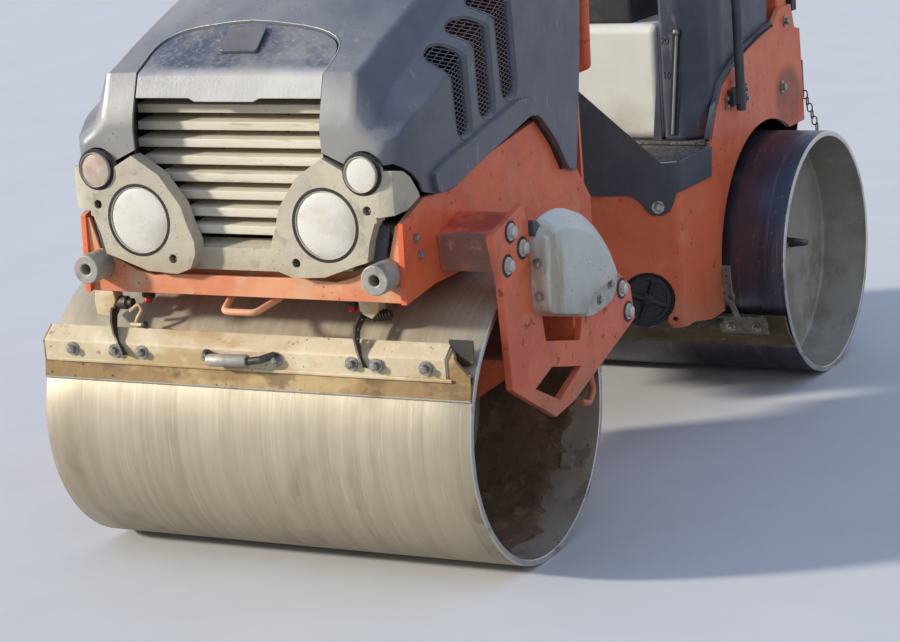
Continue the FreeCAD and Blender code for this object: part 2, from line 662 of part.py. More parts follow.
def platform_floor():
    left = front_line(0, (FRAME_X - CONSOLE_X) / SLANT_X, WIDE_Y)
    outline = left + [(-x, y) for x, y in reversed(left)]
    return flat_plate(outline, FLOOR_TOP - FLOOR_T, FLOOR_TOP)


SKIRT_T = 6.0
SKIRT_END_Y = 490.0
# Skirt on the slanted front: its top climbs to the console, its lower edge has a bolt lug
SKIRT_SLANT = [
    (-5, FLOOR_TOP), (44, FLOOR_TOP), (188, 904), (300, 1017), (300, 684), (225, 677), (146, 673),
    (123, 665), (104, 646), (90, 622), (75, 611), (47, 609), (27, 619), (14, 643), (4, 671), (-5, 671),
]


def platform_skirts():
    plan = front_band(0.5, 0.5 + SKIRT_T, (FRAME_X - CONSOLE_X - 0.5) / SLANT_X, SKIRT_END_Y + 15, 590, 1030)
    side = side_plate([(BEND_Y - 5, 671), (SKIRT_END_Y, 671), (SKIRT_END_Y + 15, FLOOR_TOP),
                       (BEND_Y - 5, FLOOR_TOP)], INNER_X - BEND_R, FRAME_X + PLATE_T)
    return both(plan.common(side.fuse(slant_outline(SKIRT_SLANT))).removeSplitter())


def console():
    outline = [(-150, PLATE_TOP + 2), (130, PLATE_TOP + 2), (130, 990), (35, 1180), (20, 1270), (-60, 1300),
               (-130, 1240), (-150, 1000)]
    solid = side_plate(outline, -CONSOLE_X, CONSOLE_X)
    return solid.cut(platform_floor())


def steering_wheel():
    ring = Part.makeTorus(WHEEL_R, 14, Vector(0, 0, 0), Vector(0, 0, 1))
    hub = Part.makeCylinder(35, 30, Vector(0, 0, -20))
    solid = ring.fuse(hub)
    for angle in (90, 210, 330):
        a = math.radians(angle)
        tip = Vector(WHEEL_R * math.cos(a), WHEEL_R * math.sin(a), 0)
        solid = solid.fuse(Part.makeCylinder(9, WHEEL_R, Vector(0, 0, 0), tip))
    column = Part.makeCylinder(22, 130, Vector(0, 0, -135))
    solid = solid.fuse(column).removeSplitter()
    solid.rotate(Vector(0, 0, 0), Vector(1, 0, 0), -32)
    solid.translate(Vector(0, 62, 1372))
    return solid.cut(console())


def grab_handles():
    loop = rod([(CONSOLE_X, -20, 1030), (300, 20, 1070), (310, 10, 1260), (290, -25, 1310),
                (CONSOLE_X, -65, 1240)], 17)
    return both(loop.cut(box(-CONSOLE_X, CONSOLE_X, -300, 100, 900, 1500)))


def water_tank():
    return box(-TANK_X, TANK_X, TANK_FRONT_Y, TANK_REAR_Y, REAR_DECK_TOP, TANK_TOP)


def sight_tube():
    y = WIDE_Y + 6 - 4.3
    return rod([(TANK_X + 32, y, 790), (TANK_X + 63, y, 1085)], 4)


def fender_shells():
    front = WIDE_Y + 6
    rear = REAR_END_Y - 220
    outline = [(front, REAR_DECK_TOP), (front, SHELL_TOP - 30), (front + 50, SHELL_TOP), (rear - 40, SHELL_TOP),
               (rear, SHELL_TOP - 40), (rear, REAR_DECK_TOP)]
    plan = [(TANK_X + 2, front), (TANK_X + 65, front), (INNER_X - 1, front + 65), (INNER_X - 1, rear),
            (TANK_X + 2, rear)]
    solid = side_plate(outline, TANK_X + 2, INNER_X - 1)
    return both(solid.common(flat_plate(plan, REAR_DECK_TOP, SHELL_TOP)))


def rear_housing():
    return box(-TANK_X, TANK_X, TANK_REAR_Y + 40, REAR_END_Y - PLATE_T - 2, REAR_DECK_TOP, 1120)


def seat_base():
    return box(-210, 210, 540, 900, TANK_TOP, SEAT_Z - 0.3)


def seat_cushion():
    return box(-240, 240, 505, 930, SEAT_Z, SEAT_Z + 110)


def seat_back():
    outline = [(880, SEAT_Z + 110.3), (985, SEAT_Z + 110.3), (1060, 1640), (985, 1660), (960, 1640)]
    return side_plate(outline, -225, 225)


def handrails():
    x, y = 469, 700
    rail = rod([(x, y, 827), (x, y, 1330), (x - 20, y + 60, 1380), (x - 20, 1000, 1380),
                (430, 1070, 1300)], RAIL_R)
    bracket = box(FRAME_X, x, y - 50, y + 105, 848, 890)
    return both(rail.fuse(bracket).removeSplitter())


def rops_frame():
    half = ROPS_TUBE / 2
    y = ROPS_Y
    post = box(ROPS_X - half, ROPS_X + half, y - half, y + half, REAR_DECK_TOP, ROPS_TOP)
    top = box(-ROPS_X - half, ROPS_X + half, y - half, y + half, ROPS_TOP - ROPS_TUBE, ROPS_TOP)
    return joined_both(post).fuse(top).removeSplitter()


def rear_lamps():
    return both(box(230, 400, REAR_END_Y, REAR_END_Y + 40, 870, 940))


def tow_hitch():
    eye_y = REAR_END_Y + REACH - 2
    solid = None
    for z in (790, 850):
        ear = box(-40, 40, REAR_END_Y, eye_y, z, z + 18).fuse(cyl_z(z, z + 18, 0, eye_y, 40))
        solid = ear if solid is None else solid.fuse(ear)
    solid = solid.fuse(box(-70, 70, REAR_END_Y, REAR_END_Y + 12, 760, 900))
    return solid.cut(cyl_z(780, 880, 0, eye_y, 15)).removeSplitter()


def rear_scraper():
    edge = DRUM_R + SCRAPER_GAP
    outline = [
        drum_point(REAR_Y, -38, edge, -1), drum_point(REAR_Y, -37.5, edge + 8, -1),
        drum_point(REAR_Y, -24.0, edge + 30, -1), drum_point(REAR_Y, -17.0, edge + 30, -1),
        drum_point(REAR_Y, -17.0, edge + 18, -1), drum_point(REAR_Y, -26.0, edge + 16, -1),
    ]
    blade = side_plate(outline, -DRUM_LEFT, -DRUM_RIGHT)
    for x in (-350, 350):
        blade = blade.fuse(side_plate([(533, 225), (533, 300), (560, 300), (590, 240)], x, x + 14))
        blade = blade.fuse(side_plate([(YOKE_Y + PLATE_T, 280), (YOKE_Y + PLATE_T, 300), (545, 300),
                                       (545, 280)], x, x + 14))
    return blade.removeSplitter()


def main():
    os.makedirs("parts", exist_ok=True)
    save("front_side_plates", front_side_plates())
    save("front_chassis", front_chassis())
    save("front_crossbar", front_crossbar())
    save("bumper_cylinders", bumper_cylinders())
    save("tow_loop", tow_loop())
    save("front_hitch", front_hitch())
    save("steering_pin", steering_pin())
    save("steering_cylinder", steering_cylinder())
    save("steering_rod", steering_rod())
    save("engine_block", engine_block())
    save("radiator", radiator())
    save("headlamp_panels", headlamp_panels())
    save("headlamps", headlamps())
    save("front_arm", front_arm())
    save("front_motor_cover", front_motor_cover())
    save("front_hub_motor", front_hub_motor())
    save("front_drum_shell", front_drum_shell())
    save("front_drum_discs", front_drum_discs())
    save("front_scraper", front_scraper())
    save("hood_shell", hood_shell())
    save("vent_screens", vent_screens())
    save("grille_slats", grille_slats())
    save("articulation_link", articulation_link())
    save("rear_side_plates", rear_side_plates())
    save("rear_yoke", rear_yoke())
    save("filter_caps", filter_caps())
    save("rear_deck", rear_deck())
    save("rear_panel", rear_panel())
    save("platform_floor", platform_floor())
    save("platform_skirts", platform_skirts())
    save("console", console())
    save("steering_wheel", steering_wheel())
    save("grab_handles", grab_handles())
    save("water_tank", water_tank())
    save("sight_tube", sight_tube())
    save("fender_shells", fender_shells())
    save("rear_housing", rear_housing())
    save("seat_base", seat_base())
    save("seat_cushion", seat_cushion())
    save("seat_back", seat_back())
    save("handrails", handrails())
    save("rops_frame", rops_frame())
    save("rear_lamps", rear_lamps())
    save("tow_hitch", tow_hitch())
    save("rear_scraper", rear_scraper())
    save("rear_arm", half_turn(front_arm()))
    save("rear_motor_cover", half_turn(front_motor_cover()))
    save("rear_hub_motor", half_turn(front_hub_motor()))
    save("rear_drum_shell", half_turn(front_drum_shell()))
    save("rear_drum_discs", half_turn(front_drum_discs()))


main()
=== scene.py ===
"""Looks of the articulated tandem road roller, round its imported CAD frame. Metres, tables in millimetres."""
import logging
import math
from dataclasses import dataclass
from enum import Enum
from typing import Callable, Iterable, Optional, Sequence, Union

import bmesh
import bpy
from mathutils import Matrix, Vector, noise


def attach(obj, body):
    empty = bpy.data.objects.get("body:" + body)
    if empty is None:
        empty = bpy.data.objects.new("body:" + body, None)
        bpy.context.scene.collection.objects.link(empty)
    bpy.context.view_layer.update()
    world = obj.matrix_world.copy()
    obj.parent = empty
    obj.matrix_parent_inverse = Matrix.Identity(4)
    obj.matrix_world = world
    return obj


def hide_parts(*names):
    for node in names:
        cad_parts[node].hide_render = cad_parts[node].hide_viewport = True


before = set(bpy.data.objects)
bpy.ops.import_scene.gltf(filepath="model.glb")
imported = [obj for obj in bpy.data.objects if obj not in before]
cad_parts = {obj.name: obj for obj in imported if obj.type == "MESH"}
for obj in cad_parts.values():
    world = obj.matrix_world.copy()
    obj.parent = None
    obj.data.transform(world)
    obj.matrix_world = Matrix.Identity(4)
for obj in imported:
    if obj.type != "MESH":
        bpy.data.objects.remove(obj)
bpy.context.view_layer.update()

log = logging.getLogger("road_roller")

Vec3 = tuple[float, float, float]
Pair = tuple[float, float]
Socket = Union[int, str]
MM = 0.001
SEED = 7
TIP = 0.0005  # radius of a turned profile's end that stands for a point on the axis
AXLE_Y = -0.935  # front axle; the rear one is as far behind the middle
DRUM_R = 0.360
SKIN_R = 0.3605  # what scrapes the drum stands just off it
PLATE_X = 0.447  # outer face of the side plates
LEFT, AHEAD, BACK, UP = (1.0, 0.0, 0.0), (0.0, -1.0, 0.0), (0.0, 1.0, 0.0), (0.0, 0.0, 1.0)


def tone(red: float, green: float, blue: float) -> Vec3:
    """Linear colour of the 0 to 255 values that a screen shows."""
    return tuple(((v / 255 + 0.055) / 1.055) ** 2.4 for v in (red, green, blue))


def metres(points: Iterable[Sequence[float]]) -> list[tuple[float, ...]]:
    """Points of a table in millimetres, in metres."""
    return [tuple(v * MM for v in p) for p in points]


class Spread(Enum):
    """How a layer lies over a finish."""

    PATCHES = "cloudy patches"
    SPECKS = "separate small specks"
    DUST = "faces that look up"
    HEIGHT = "a band of heights"


@dataclass(frozen=True)
class Layer:
    """One colour (0 to 255) over a finish, and where: all over, or round a centre as far as its reach."""

    colour: Vec3
    scale: float
    low: float
    high: float
    strength: float
    spread: Spread = Spread.PATCHES
    stretch: Vec3 = (1, 1, 1)
    rough: Optional[float] = None
    centre: Optional[Vec3] = None
    reach: Vec3 = (0.1, 0.1, 0.1)


@dataclass(frozen=True)
class Grain:
    """Relief of a surface: how fine, how deep in metres, and how it is drawn out."""

    scale: float
    depth: float
    stretch: Vec3 = (1, 1, 1)
    detail: float = 3.0


class Graph:
    """A node tree in the making."""

    def __init__(self, tree: bpy.types.NodeTree) -> None:
        """Work on a tree that is there."""
        self.tree = tree

    def node(self, kind: str, settings: Optional[dict] = None, inputs: Optional[dict[Socket, object]] = None):
        """Add a node.

        Args:
            kind: Blender's name of the node type.
            settings: the node's own options.
            inputs: values or sockets, by input name or number.

        Returns:
            The node.
        """
        node = self.tree.nodes.new(kind)
        for key, value in (settings or {}).items():
            setattr(node, key, value)
        for key, value in (inputs or {}).items():
            if isinstance(value, bpy.types.NodeSocket):
                self.tree.links.new(value, node.inputs[key])
            else:
                node.inputs[key].default_value = value
        return node

    def sum(self, operation: str, a, b):
        """One sum on two values."""
        return self.node("ShaderNodeMath", {"operation": operation}, {0: a, 1: b}).outputs[0]

    def times(self, a, b):
        """Product of two values."""
        return self.sum("MULTIPLY", a, b)


class Shader(Graph):
    """Nodes of one material, laid on Object coordinates."""

    def __init__(self, name: str) -> None:
        """Start an empty material."""
        self.material = bpy.data.materials.new(name)
        self.material.use_nodes = True
        super().__init__(self.material.node_tree)
        self.tree.nodes.clear()
        self.place = self.node("ShaderNodeTexCoord").outputs["Object"]

    def vector(self, operation: str, a, b):
        """One sum on two vectors."""
        return self.node("ShaderNodeVectorMath", {"operation": operation}, {0: a, 1: b}).outputs[0]

    def drawn_out(self, stretch: Vec3):
        """Coordinates scaled on each axis."""
        return self.place if stretch == (1, 1, 1) else self.vector("MULTIPLY", self.place, stretch)

    def noise(self, scale: float, stretch: Vec3 = (1, 1, 1), detail: float = 4.0):
        """Cloudy value from 0 to 1."""
        inputs = {"Vector": self.drawn_out(stretch), "Scale": scale, "Detail": detail, "Roughness": 0.6}
        return self.node("ShaderNodeTexNoise", None, inputs).outputs[0]

    def ramp(self, value, low: float, high: float, start: float = 0.0, end: float = 1.0):
        """Value turned smoothly from start at low to end at high."""
        inputs = {0: value, 1: low, 2: high, 3: start, 4: end}
        return self.node("ShaderNodeMapRange", {"interpolation_type": "SMOOTHSTEP"}, inputs).outputs[0]

    def upright(self, vector):
        """Third value of a vector."""
        return self.node("ShaderNodeSeparateXYZ", None, {0: vector}).outputs[2]

    def mask(self, layer: Layer):
        """How strongly a layer covers each point."""
        cloud = self.noise(layer.scale, layer.stretch)
        if layer.spread is Spread.PATCHES:
            cover = self.ramp(cloud, layer.low, layer.high)
        elif layer.spread is Spread.SPECKS:
            inputs = {"Vector": self.drawn_out(layer.stretch), "Scale": layer.scale}
            dots = self.node("ShaderNodeTexVoronoi", None, inputs).outputs["Distance"]
            spots = self.ramp(dots, layer.high, layer.low)
            cover = self.times(spots, self.ramp(self.noise(layer.scale / 9), 0.5, 0.6))
        elif layer.spread is Spread.DUST:
            up = self.upright(self.node("ShaderNodeNewGeometry").outputs["Normal"])
            cover = self.times(self.ramp(up, layer.low, layer.high), self.ramp(cloud, 0.25, 0.65, 0.45, 1.0))
        else:
            height = self.ramp(self.upright(self.place), layer.low, layer.high)
            cover = self.times(height, self.ramp(cloud, 0.3, 0.6, 0.3, 1.0))
        if layer.centre:
            share = self.vector("DIVIDE", self.vector("SUBTRACT", self.place, layer.centre), layer.reach)
            far = self.node("ShaderNodeVectorMath", {"operation": "LENGTH"}, {0: share})
            cover = self.times(cover, self.ramp(far.outputs["Value"], 1.0, 0.55))
        return self.times(cover, layer.strength)

    def mix(self, cover, under, over):
        """One colour over another."""
        inputs = {0: cover, 6: under, 7: over}
        return self.node("ShaderNodeMix", {"data_type": "RGBA"}, inputs).outputs[2]


@dataclass(frozen=True)
class Finish:
    """A surface finish: colour (0 to 255), gloss, layers of what has settled or worn on it and of painted light and
    shade, and its relief.
    """

    name: str
    colour: Vec3
    rough: float = 0.5
    metal: float = 0.0
    mottle: float = 0.08
    layers: tuple[Layer, ...] = ()
    grains: tuple[Grain, ...] = ()
    coat: float = 0.0
    clear: float = 0.0

    def material(self) -> bpy.types.Material:
        """The finish as a material, made once."""
        name = f"{self.name}_finish"
        found = bpy.data.materials.get(name)
        if found:
            return found
        shader = Shader(name)
        drift = shader.ramp(shader.noise(2.5), 0.3, 0.7, 1 - self.mottle, 1 + self.mottle)
        base = shader.node("ShaderNodeHueSaturation", None, {"Color": (*tone(*self.colour), 1),
                                                             "Value": drift})
        colour = base.outputs[0]
        rough = shader.ramp(shader.noise(14.0), 0.3, 0.7, self.rough - 0.06, self.rough + 0.08)
        for layer in self.layers:
            cover = shader.mask(layer)
            colour = shader.mix(cover, colour, (*tone(*layer.colour), 1))
            if layer.rough is not None:
                value = shader.node("ShaderNodeMix", {"data_type": "FLOAT"}, {0: cover, 2: rough,
                                                                              3: layer.rough})
                rough = value.outputs[0]
        inputs = {"Base Color": colour, "Roughness": rough, "Metallic": self.metal, "Coat Weight": self.coat,
                  "Transmission Weight": self.clear}
        normal = None
        for grain in self.grains:
            relief = {"Height": shader.noise(grain.scale, grain.stretch, grain.detail),
                      "Distance": grain.depth}
            if normal:
                relief["Normal"] = normal
            normal = shader.node("ShaderNodeBump", None, relief).outputs[0]
        if normal:
            inputs["Normal"] = normal
        principled = shader.node("ShaderNodeBsdfPrincipled", None, inputs)
        shader.node("ShaderNodeOutputMaterial", None, {0: principled.outputs[0]})
        return shader.material


# Colours that several finishes share, as a screen shows them (0 to 255)
RUST = (132, 62, 34)
DEEP_RUST = (92, 44, 30)
MUD = (150, 132, 104)
DRY_DUST = (196, 184, 160)
SOOT = (34, 34, 36)

HOOD = Finish("hood_plastic", (98, 100, 108), 0.34, layers=(
    # blue-grey patches: painted shade and sky reflection on the grey plastic
    Layer((78, 84, 102), 3.5, 0.45, 0.62, 0.5),
    Layer((166, 163, 155), 9.0, 0.5, 0.95, 0.45, Spread.DUST, rough=0.6),
    Layer((176, 173, 163), 38, 0.62, 0.72, 0.3, stretch=(1, 1, 0.35)),
    # pale patch over the nose's front: painted sunlight on the face that looks forward, with some dust
    Layer((186, 182, 170), 1.5, 0.2, 0.5, 0.5, centre=(0.0, -1.33, 1.15),
          reach=(0.6, 0.09, 0.3)),
    Layer((62, 60, 58), 70, 0.10, 0.2, 0.6, Spread.SPECKS),
), grains=(Grain(260, 0.00025), Grain(5, 0.001)))
CAP = Finish("cap_panel", (122, 120, 119), 0.3, mottle=0.2, coat=0.3, layers=(
    # dark blue zones: painted sky reflection on the glossy panel
    Layer((52, 58, 82), 4, 0.46, 0.62, 0.75, stretch=(1, 1, 1.6)),
    Layer((146, 142, 130), 60, 0.48, 0.66, 0.45, stretch=(1, 1.4, 1)),
    Layer((200, 197, 188), 190, 0.6, 0.68, 0.4, stretch=(0.5, 1, 1)),
    # pale band low on the fold, where the panel turns to face forward: painted sunlight
    Layer((190, 188, 182), 2, 1.270, 1.249, 1.0, Spread.HEIGHT, rough=0.4),
), grains=(Grain(140, 0.0003),))
SLAT = Finish("slat_plastic", (214, 205, 182), 0.6, layers=(
    Layer((228, 221, 202), 16, 0.45, 0.65, 0.5, stretch=(0.2, 1, 1)),
    Layer((150, 142, 124), 60, 0.58, 0.7, 0.5, stretch=(0.12, 1, 1)),
    Layer((70, 62, 52), 90, 0.08, 0.16, 0.7, Spread.SPECKS),
), grains=(Grain(120, 0.0006, (0.2, 1, 1)),))
PANEL = Finish("panel_plastic", (188, 180, 158), 0.55, layers=(
    Layer((210, 201, 176), 7, 0.45, 0.62, 0.55),
    Layer((126, 124, 118), 26, 0.56, 0.68, 0.4),
    Layer((160, 134, 98), 12, 0.86, 0.78, 0.5, Spread.HEIGHT),
    Layer((52, 48, 44), 75, 0.09, 0.17, 0.75, Spread.SPECKS),
), grains=(Grain(150, 0.0008), Grain(12, 0.002)))
LENS = Finish("lens_dusty", (252, 248, 236), 0.24, coat=0.6, clear=0.25, layers=(
    Layer((214, 206, 182), 10, 0.42, 0.64, 0.6, rough=0.45),
    Layer((120, 108, 88), 95, 0.06, 0.12, 0.8, Spread.SPECKS),
), grains=(Grain(18, 0.0006),))
BOWL = Finish("lamp_bowl", (214, 212, 206), 0.2, 1.0, layers=(
    Layer((168, 160, 144), 20, 0.5, 0.65, 0.4),), grains=(Grain(60, 0.0006),))
AMBER = Finish("corner_lens", (226, 208, 190), 0.25, coat=0.5, clear=0.3, layers=(
    Layer((214, 150, 112), 24, 0.5, 0.6, 0.45),
    Layer((236, 232, 226), 40, 0.52, 0.62, 0.5),), grains=(Grain(30, 0.001),))
ORANGE = Finish("frame_orange", (236, 114, 68), 0.45, coat=0.12, layers=(
    Layer((216, 90, 50), 4, 0.46, 0.62, 0.6),
    Layer((232, 142, 100), 9, 0.52, 0.68, 0.45),
    Layer(RUST, 24, 0.64, 0.72, 0.7, rough=0.8),
    Layer(DEEP_RUST, 34, 0.1, 0.2, 0.7, Spread.SPECKS, rough=0.8),
    Layer(DRY_DUST, 8, 0.6, 0.95, 0.5, Spread.DUST, rough=0.75),
    Layer(MUD, 9, 0.46, 0.26, 0.4, Spread.HEIGHT, rough=0.8),
    Layer((150, 104, 82), 5, 0.3, 0.6, 0.85, rough=0.75, centre=(0.447, 1.13, 0.80),
          reach=(0.1, 0.13, 0.11)),
), grains=(Grain(70, 0.0008), Grain(7, 0.0016)))
# Crossbar and tow loop orange: the frame's orange paled as painted sunlight, with darker orange patches, dust and
# rust on it.
SUN_PALED_ORANGE = Finish("sun_paled_orange", (226, 158, 116), 0.55, layers=(
    Layer((214, 124, 82), 5, 0.48, 0.62, 0.75, stretch=(0.5, 1, 1)),
    Layer((204, 186, 150), 7, 0.5, 0.66, 0.6),
    Layer(DEEP_RUST, 60, 0.1, 0.22, 0.9, Spread.SPECKS, rough=0.8),
), grains=(Grain(80, 0.0006), Grain(9, 0.001)))
ARM_PAINT = Finish("arm_orange", (238, 120, 80), 0.42, coat=0.15, layers=(
    Layer((216, 96, 64), 6, 0.5, 0.62, 0.6),
    Layer((122, 98, 88), 12, 0.22, 0.5, 0.9, rough=0.75, centre=(0.52, -1.152, 0.80),
          reach=(0.11, 0.036, 0.13)),
    Layer((160, 64, 56), 8, 0.3, 0.55, 0.8, centre=(0.52, -1.09, 0.875),
          reach=(0.11, 0.09, 0.03)),
    Layer(RUST, 30, 0.62, 0.72, 0.8, rough=0.8),
    Layer(MUD, 10, 0.5, 0.36, 0.55, Spread.HEIGHT, rough=0.8),
    Layer((206, 150, 116), 18, 0.6, 0.72, 0.5),
    Layer(SOOT, 60, 0.08, 0.15, 0.6, Spread.SPECKS),
), grains=(Grain(60, 0.0008),))
CAST = Finish("bumper_grey", (164, 160, 150), 0.55, 0.2, layers=(
    Layer((190, 184, 168), 30, 0.5, 0.66, 0.6),
    Layer((112, 106, 98), 14, 0.52, 0.66, 0.5),
), grains=(Grain(90, 0.001),))
COVER = Finish("cover_plastic", (204, 208, 198), 0.42, layers=(
    Layer((222, 223, 212), 5, 0.45, 0.62, 0.5),
    Layer((166, 146, 110), 30, 0.3, 0.6, 0.75, stretch=(1, 1, 0.25),
          centre=(0.655, -0.962, 0.72), reach=(0.2, 0.062, 0.19)),
    Layer((130, 104, 76), 18, 0.67, 0.6, 0.4, Spread.HEIGHT),
    Layer((66, 58, 50), 60, 0.1, 0.19, 0.75, Spread.SPECKS),
), grains=(Grain(90, 0.0006), Grain(10, 0.0012)))
DRUM = Finish("drum_steel", (178, 167, 144), 0.46, 0.35, layers=(
    Layer((194, 184, 162), 1.0, 0.4, 0.64, 0.55, stretch=(30, 0.8, 0.8)),
    Layer((152, 140, 116), 1.0, 0.5, 0.68, 0.45, stretch=(16, 1.2, 1.2)),
    Layer((132, 120, 98), 3, 0.56, 0.72, 0.4, stretch=(2, 1, 1), rough=0.7),
    Layer((162, 150, 128), 1.0, 0.54, 0.68, 0.4, stretch=(120, 2, 2)),
    Layer((214, 207, 190), 1.0, 0.62, 0.7, 0.5, stretch=(190, 6, 6)),
    Layer(MUD, 16, 0.52, 0.58, 0.7, rough=0.85, centre=(0.575, -1.26, 0.2),
          reach=(0.035, 0.2, 0.22)),
), grains=(Grain(50, 0.0003, (4, 0.15, 0.15)), Grain(9, 0.0004)))
DRUM_INSIDE = Finish("drum_inside", (150, 140, 124), 0.7, 0.15, mottle=0.14, layers=(
    Layer((176, 166, 146), 7, 0.46, 0.6, 0.6),
    Layer((112, 98, 82), 12, 0.54, 0.64, 0.6),
    Layer(SOOT, 40, 0.12, 0.24, 0.5, Spread.SPECKS),
), grains=(Grain(34, 0.0016), Grain(120, 0.0008)))
CRUST = Finish("caked_mud", (118, 98, 76), 0.9, mottle=0.2, layers=(
    Layer((92, 72, 54), 9, 0.48, 0.6, 0.75),
    Layer((150, 130, 104), 16, 0.52, 0.64, 0.6),
    Layer(SOOT, 50, 0.12, 0.24, 0.7, Spread.SPECKS),
), grains=(Grain(40, 0.004), Grain(140, 0.0015)))
# Rear drum steel: the same steel as the front drum, given a dark blue-grey base and darker blue streaks as painted
# shade; its light and brown streaks are wear.
SHADED_REAR_DRUM = Finish("rear_drum_steel", (94, 93, 104), 0.34, 0.8, layers=(
    Layer((66, 66, 78), 3.0, 0.42, 0.6, 0.5, stretch=(3.5, 0.5, 0.5)),
    Layer((142, 136, 130), 8, 0.54, 0.7, 0.45, stretch=(6, 0.3, 0.3)),
    Layer((112, 98, 80), 12, 0.56, 0.72, 0.4, stretch=(1.5, 0.6, 0.6), rough=0.6),
    Layer((158, 152, 144), 70, 0.62, 0.7, 0.4, stretch=(1, 0.4, 0.4)),
), grains=(Grain(40, 0.0005, (4, 0.2, 0.2)), Grain(14, 0.0008)))
REAR_INSIDE = Finish("rear_drum_inside", (166, 162, 150), 0.65, 0.15, mottle=0.1, layers=(
    Layer((128, 120, 104), 5, 0.48, 0.64, 0.6),
    Layer((190, 187, 176), 12, 0.52, 0.66, 0.5),
    Layer(RUST, 46, 0.1, 0.2, 0.4, Spread.SPECKS),
), grains=(Grain(30, 0.0012),))
RIM = Finish("worn_rim", (206, 202, 192), 0.3, 0.8, layers=(
    Layer((140, 126, 104), 14, 0.52, 0.64, 0.6),), grains=(Grain(40, 0.0006),))
SCRAPER = Finish("scraper_ochre", (214, 199, 164), 0.7, 0.1, mottle=0.1, layers=(
    Layer((182, 146, 92), 7, 0.46, 0.62, 0.7, stretch=(0.4, 1, 1)),
    Layer((230, 219, 190), 12, 0.5, 0.66, 0.6),
    Layer(RUST, 26, 0.62, 0.72, 0.55),
    Layer(SOOT, 55, 0.1, 0.2, 0.7, Spread.SPECKS),
), grains=(Grain(60, 0.0012), Grain(14, 0.001)))
# Rear scraper steel: dark brown as painted shade; its light and dark streaks are wear.
SHADED_REAR_SCRAPER = Finish("shaded_rear_scraper_steel", (104, 92, 70), 0.75, 0.1, mottle=0.14, layers=(
    Layer((140, 128, 102), 9, 0.5, 0.64, 0.6, stretch=(0.5, 1, 1)),
    Layer((70, 58, 44), 7, 0.48, 0.62, 0.6),
    Layer((196, 188, 166), 60, 0.62, 0.7, 0.6, stretch=(0.4, 1, 1)),
), grains=(Grain(44, 0.0016),))
BLADE = Finish("scraper_blade", (160, 130, 86), 0.75, 0.1, mottle=0.14, layers=(
    Layer((200, 176, 128), 9, 0.48, 0.62, 0.7, stretch=(0.5, 1, 1)),
    Layer((104, 80, 58), 14, 0.52, 0.64, 0.65, stretch=(0.6, 1, 1)),
    Layer(SOOT, 50, 0.12, 0.24, 0.8, Spread.SPECKS),
), grains=(Grain(44, 0.002),))
DARK_STEEL = Finish("dark_steel", (78, 74, 70), 0.5, 0.6, layers=(
    Layer((132, 122, 108), 18, 0.52, 0.66, 0.6),
    Layer(RUST, 30, 0.6, 0.7, 0.6, rough=0.8),
), grains=(Grain(70, 0.0008),))
BOLT = Finish("bolt_zinc", (166, 164, 158), 0.4, 0.85, layers=(
    Layer((112, 98, 80), 60, 0.5, 0.62, 0.6, rough=0.7),), grains=(Grain(160, 0.0004),))
WORN = Finish("worn_steel", (132, 128, 116), 0.6, 0.35, layers=(
    Layer((100, 90, 74), 18, 0.5, 0.64, 0.6),
    Layer((186, 182, 170), 40, 0.56, 0.66, 0.6),
), grains=(Grain(90, 0.0008),))
BRIGHT = Finish("bolt_bright", (206, 206, 200), 0.45, 0.5, layers=(
    Layer((168, 160, 146), 50, 0.52, 0.64, 0.5),), grains=(Grain(160, 0.0004),))
SKIRT = Finish("grey_paint", (66, 69, 76), 0.5, layers=(
    Layer((88, 92, 90), 7, 0.48, 0.64, 0.5),
    Layer((150, 142, 126), 10, 0.5, 0.95, 0.5, Spread.DUST, rough=0.8),
    Layer((120, 112, 98), 60, 0.1, 0.2, 0.6, Spread.SPECKS),
), grains=(Grain(110, 0.0006), Grain(10, 0.001)))
GRIT = Finish("anti_slip", (74, 74, 74), 0.85, mottle=0.15, layers=(
    Layer((168, 158, 138), 150, 0.52, 0.62, 0.7),
    Layer((140, 124, 100), 6, 0.48, 0.64, 0.5),
), grains=(Grain(190, 0.003), Grain(40, 0.001)))
SHELL = Finish("side_shell", (62, 67, 82), 0.4, layers=(
    Layer((86, 90, 104), 4, 0.46, 0.62, 0.5),
    Layer((168, 160, 144), 10, 0.5, 0.95, 0.5, Spread.DUST, rough=0.75),
    Layer((136, 130, 120), 34, 0.62, 0.72, 0.4, stretch=(1, 1, 0.3)),
), grains=(Grain(240, 0.0003), Grain(7, 0.0015)))
BLACK = Finish("black_plastic", (38, 38, 40), 0.5, layers=(
    Layer((72, 70, 68), 16, 0.52, 0.68, 0.5, rough=0.75),
    Layer((128, 120, 106), 12, 0.6, 0.98, 0.4, Spread.DUST, rough=0.85),
), grains=(Grain(180, 0.0005),))
RUBBER = Finish("rubber", (30, 30, 31), 0.7, layers=(
    Layer((78, 74, 68), 22, 0.54, 0.68, 0.5),), grains=(Grain(140, 0.0008),))
WIRE = Finish("screen_wire", (122, 126, 136), 0.45, 0.3, layers=(
    Layer((84, 84, 88), 30, 0.5, 0.66, 0.5),), grains=(Grain(200, 0.0003),))
TANK = Finish("tank_plastic", (222, 221, 210), 0.4, coat=0.1, layers=(
    Layer((196, 190, 170), 5, 0.46, 0.62, 0.5),
    Layer((150, 136, 110), 8, 0.9, 0.77, 0.45, Spread.HEIGHT),
), grains=(Grain(120, 0.0005), Grain(6, 0.002)))
TUBE = Finish("sight_tube", (206, 210, 206), 0.15, coat=0.5, clear=0.55, layers=(
    Layer((150, 146, 130), 30, 0.5, 0.66, 0.4),), grains=(Grain(90, 0.0004),))
INK = Finish("printed_marks", (62, 66, 78), 0.6, layers=(
    Layer((96, 98, 104), 60, 0.52, 0.64, 0.4),), grains=(Grain(300, 0.0001),))
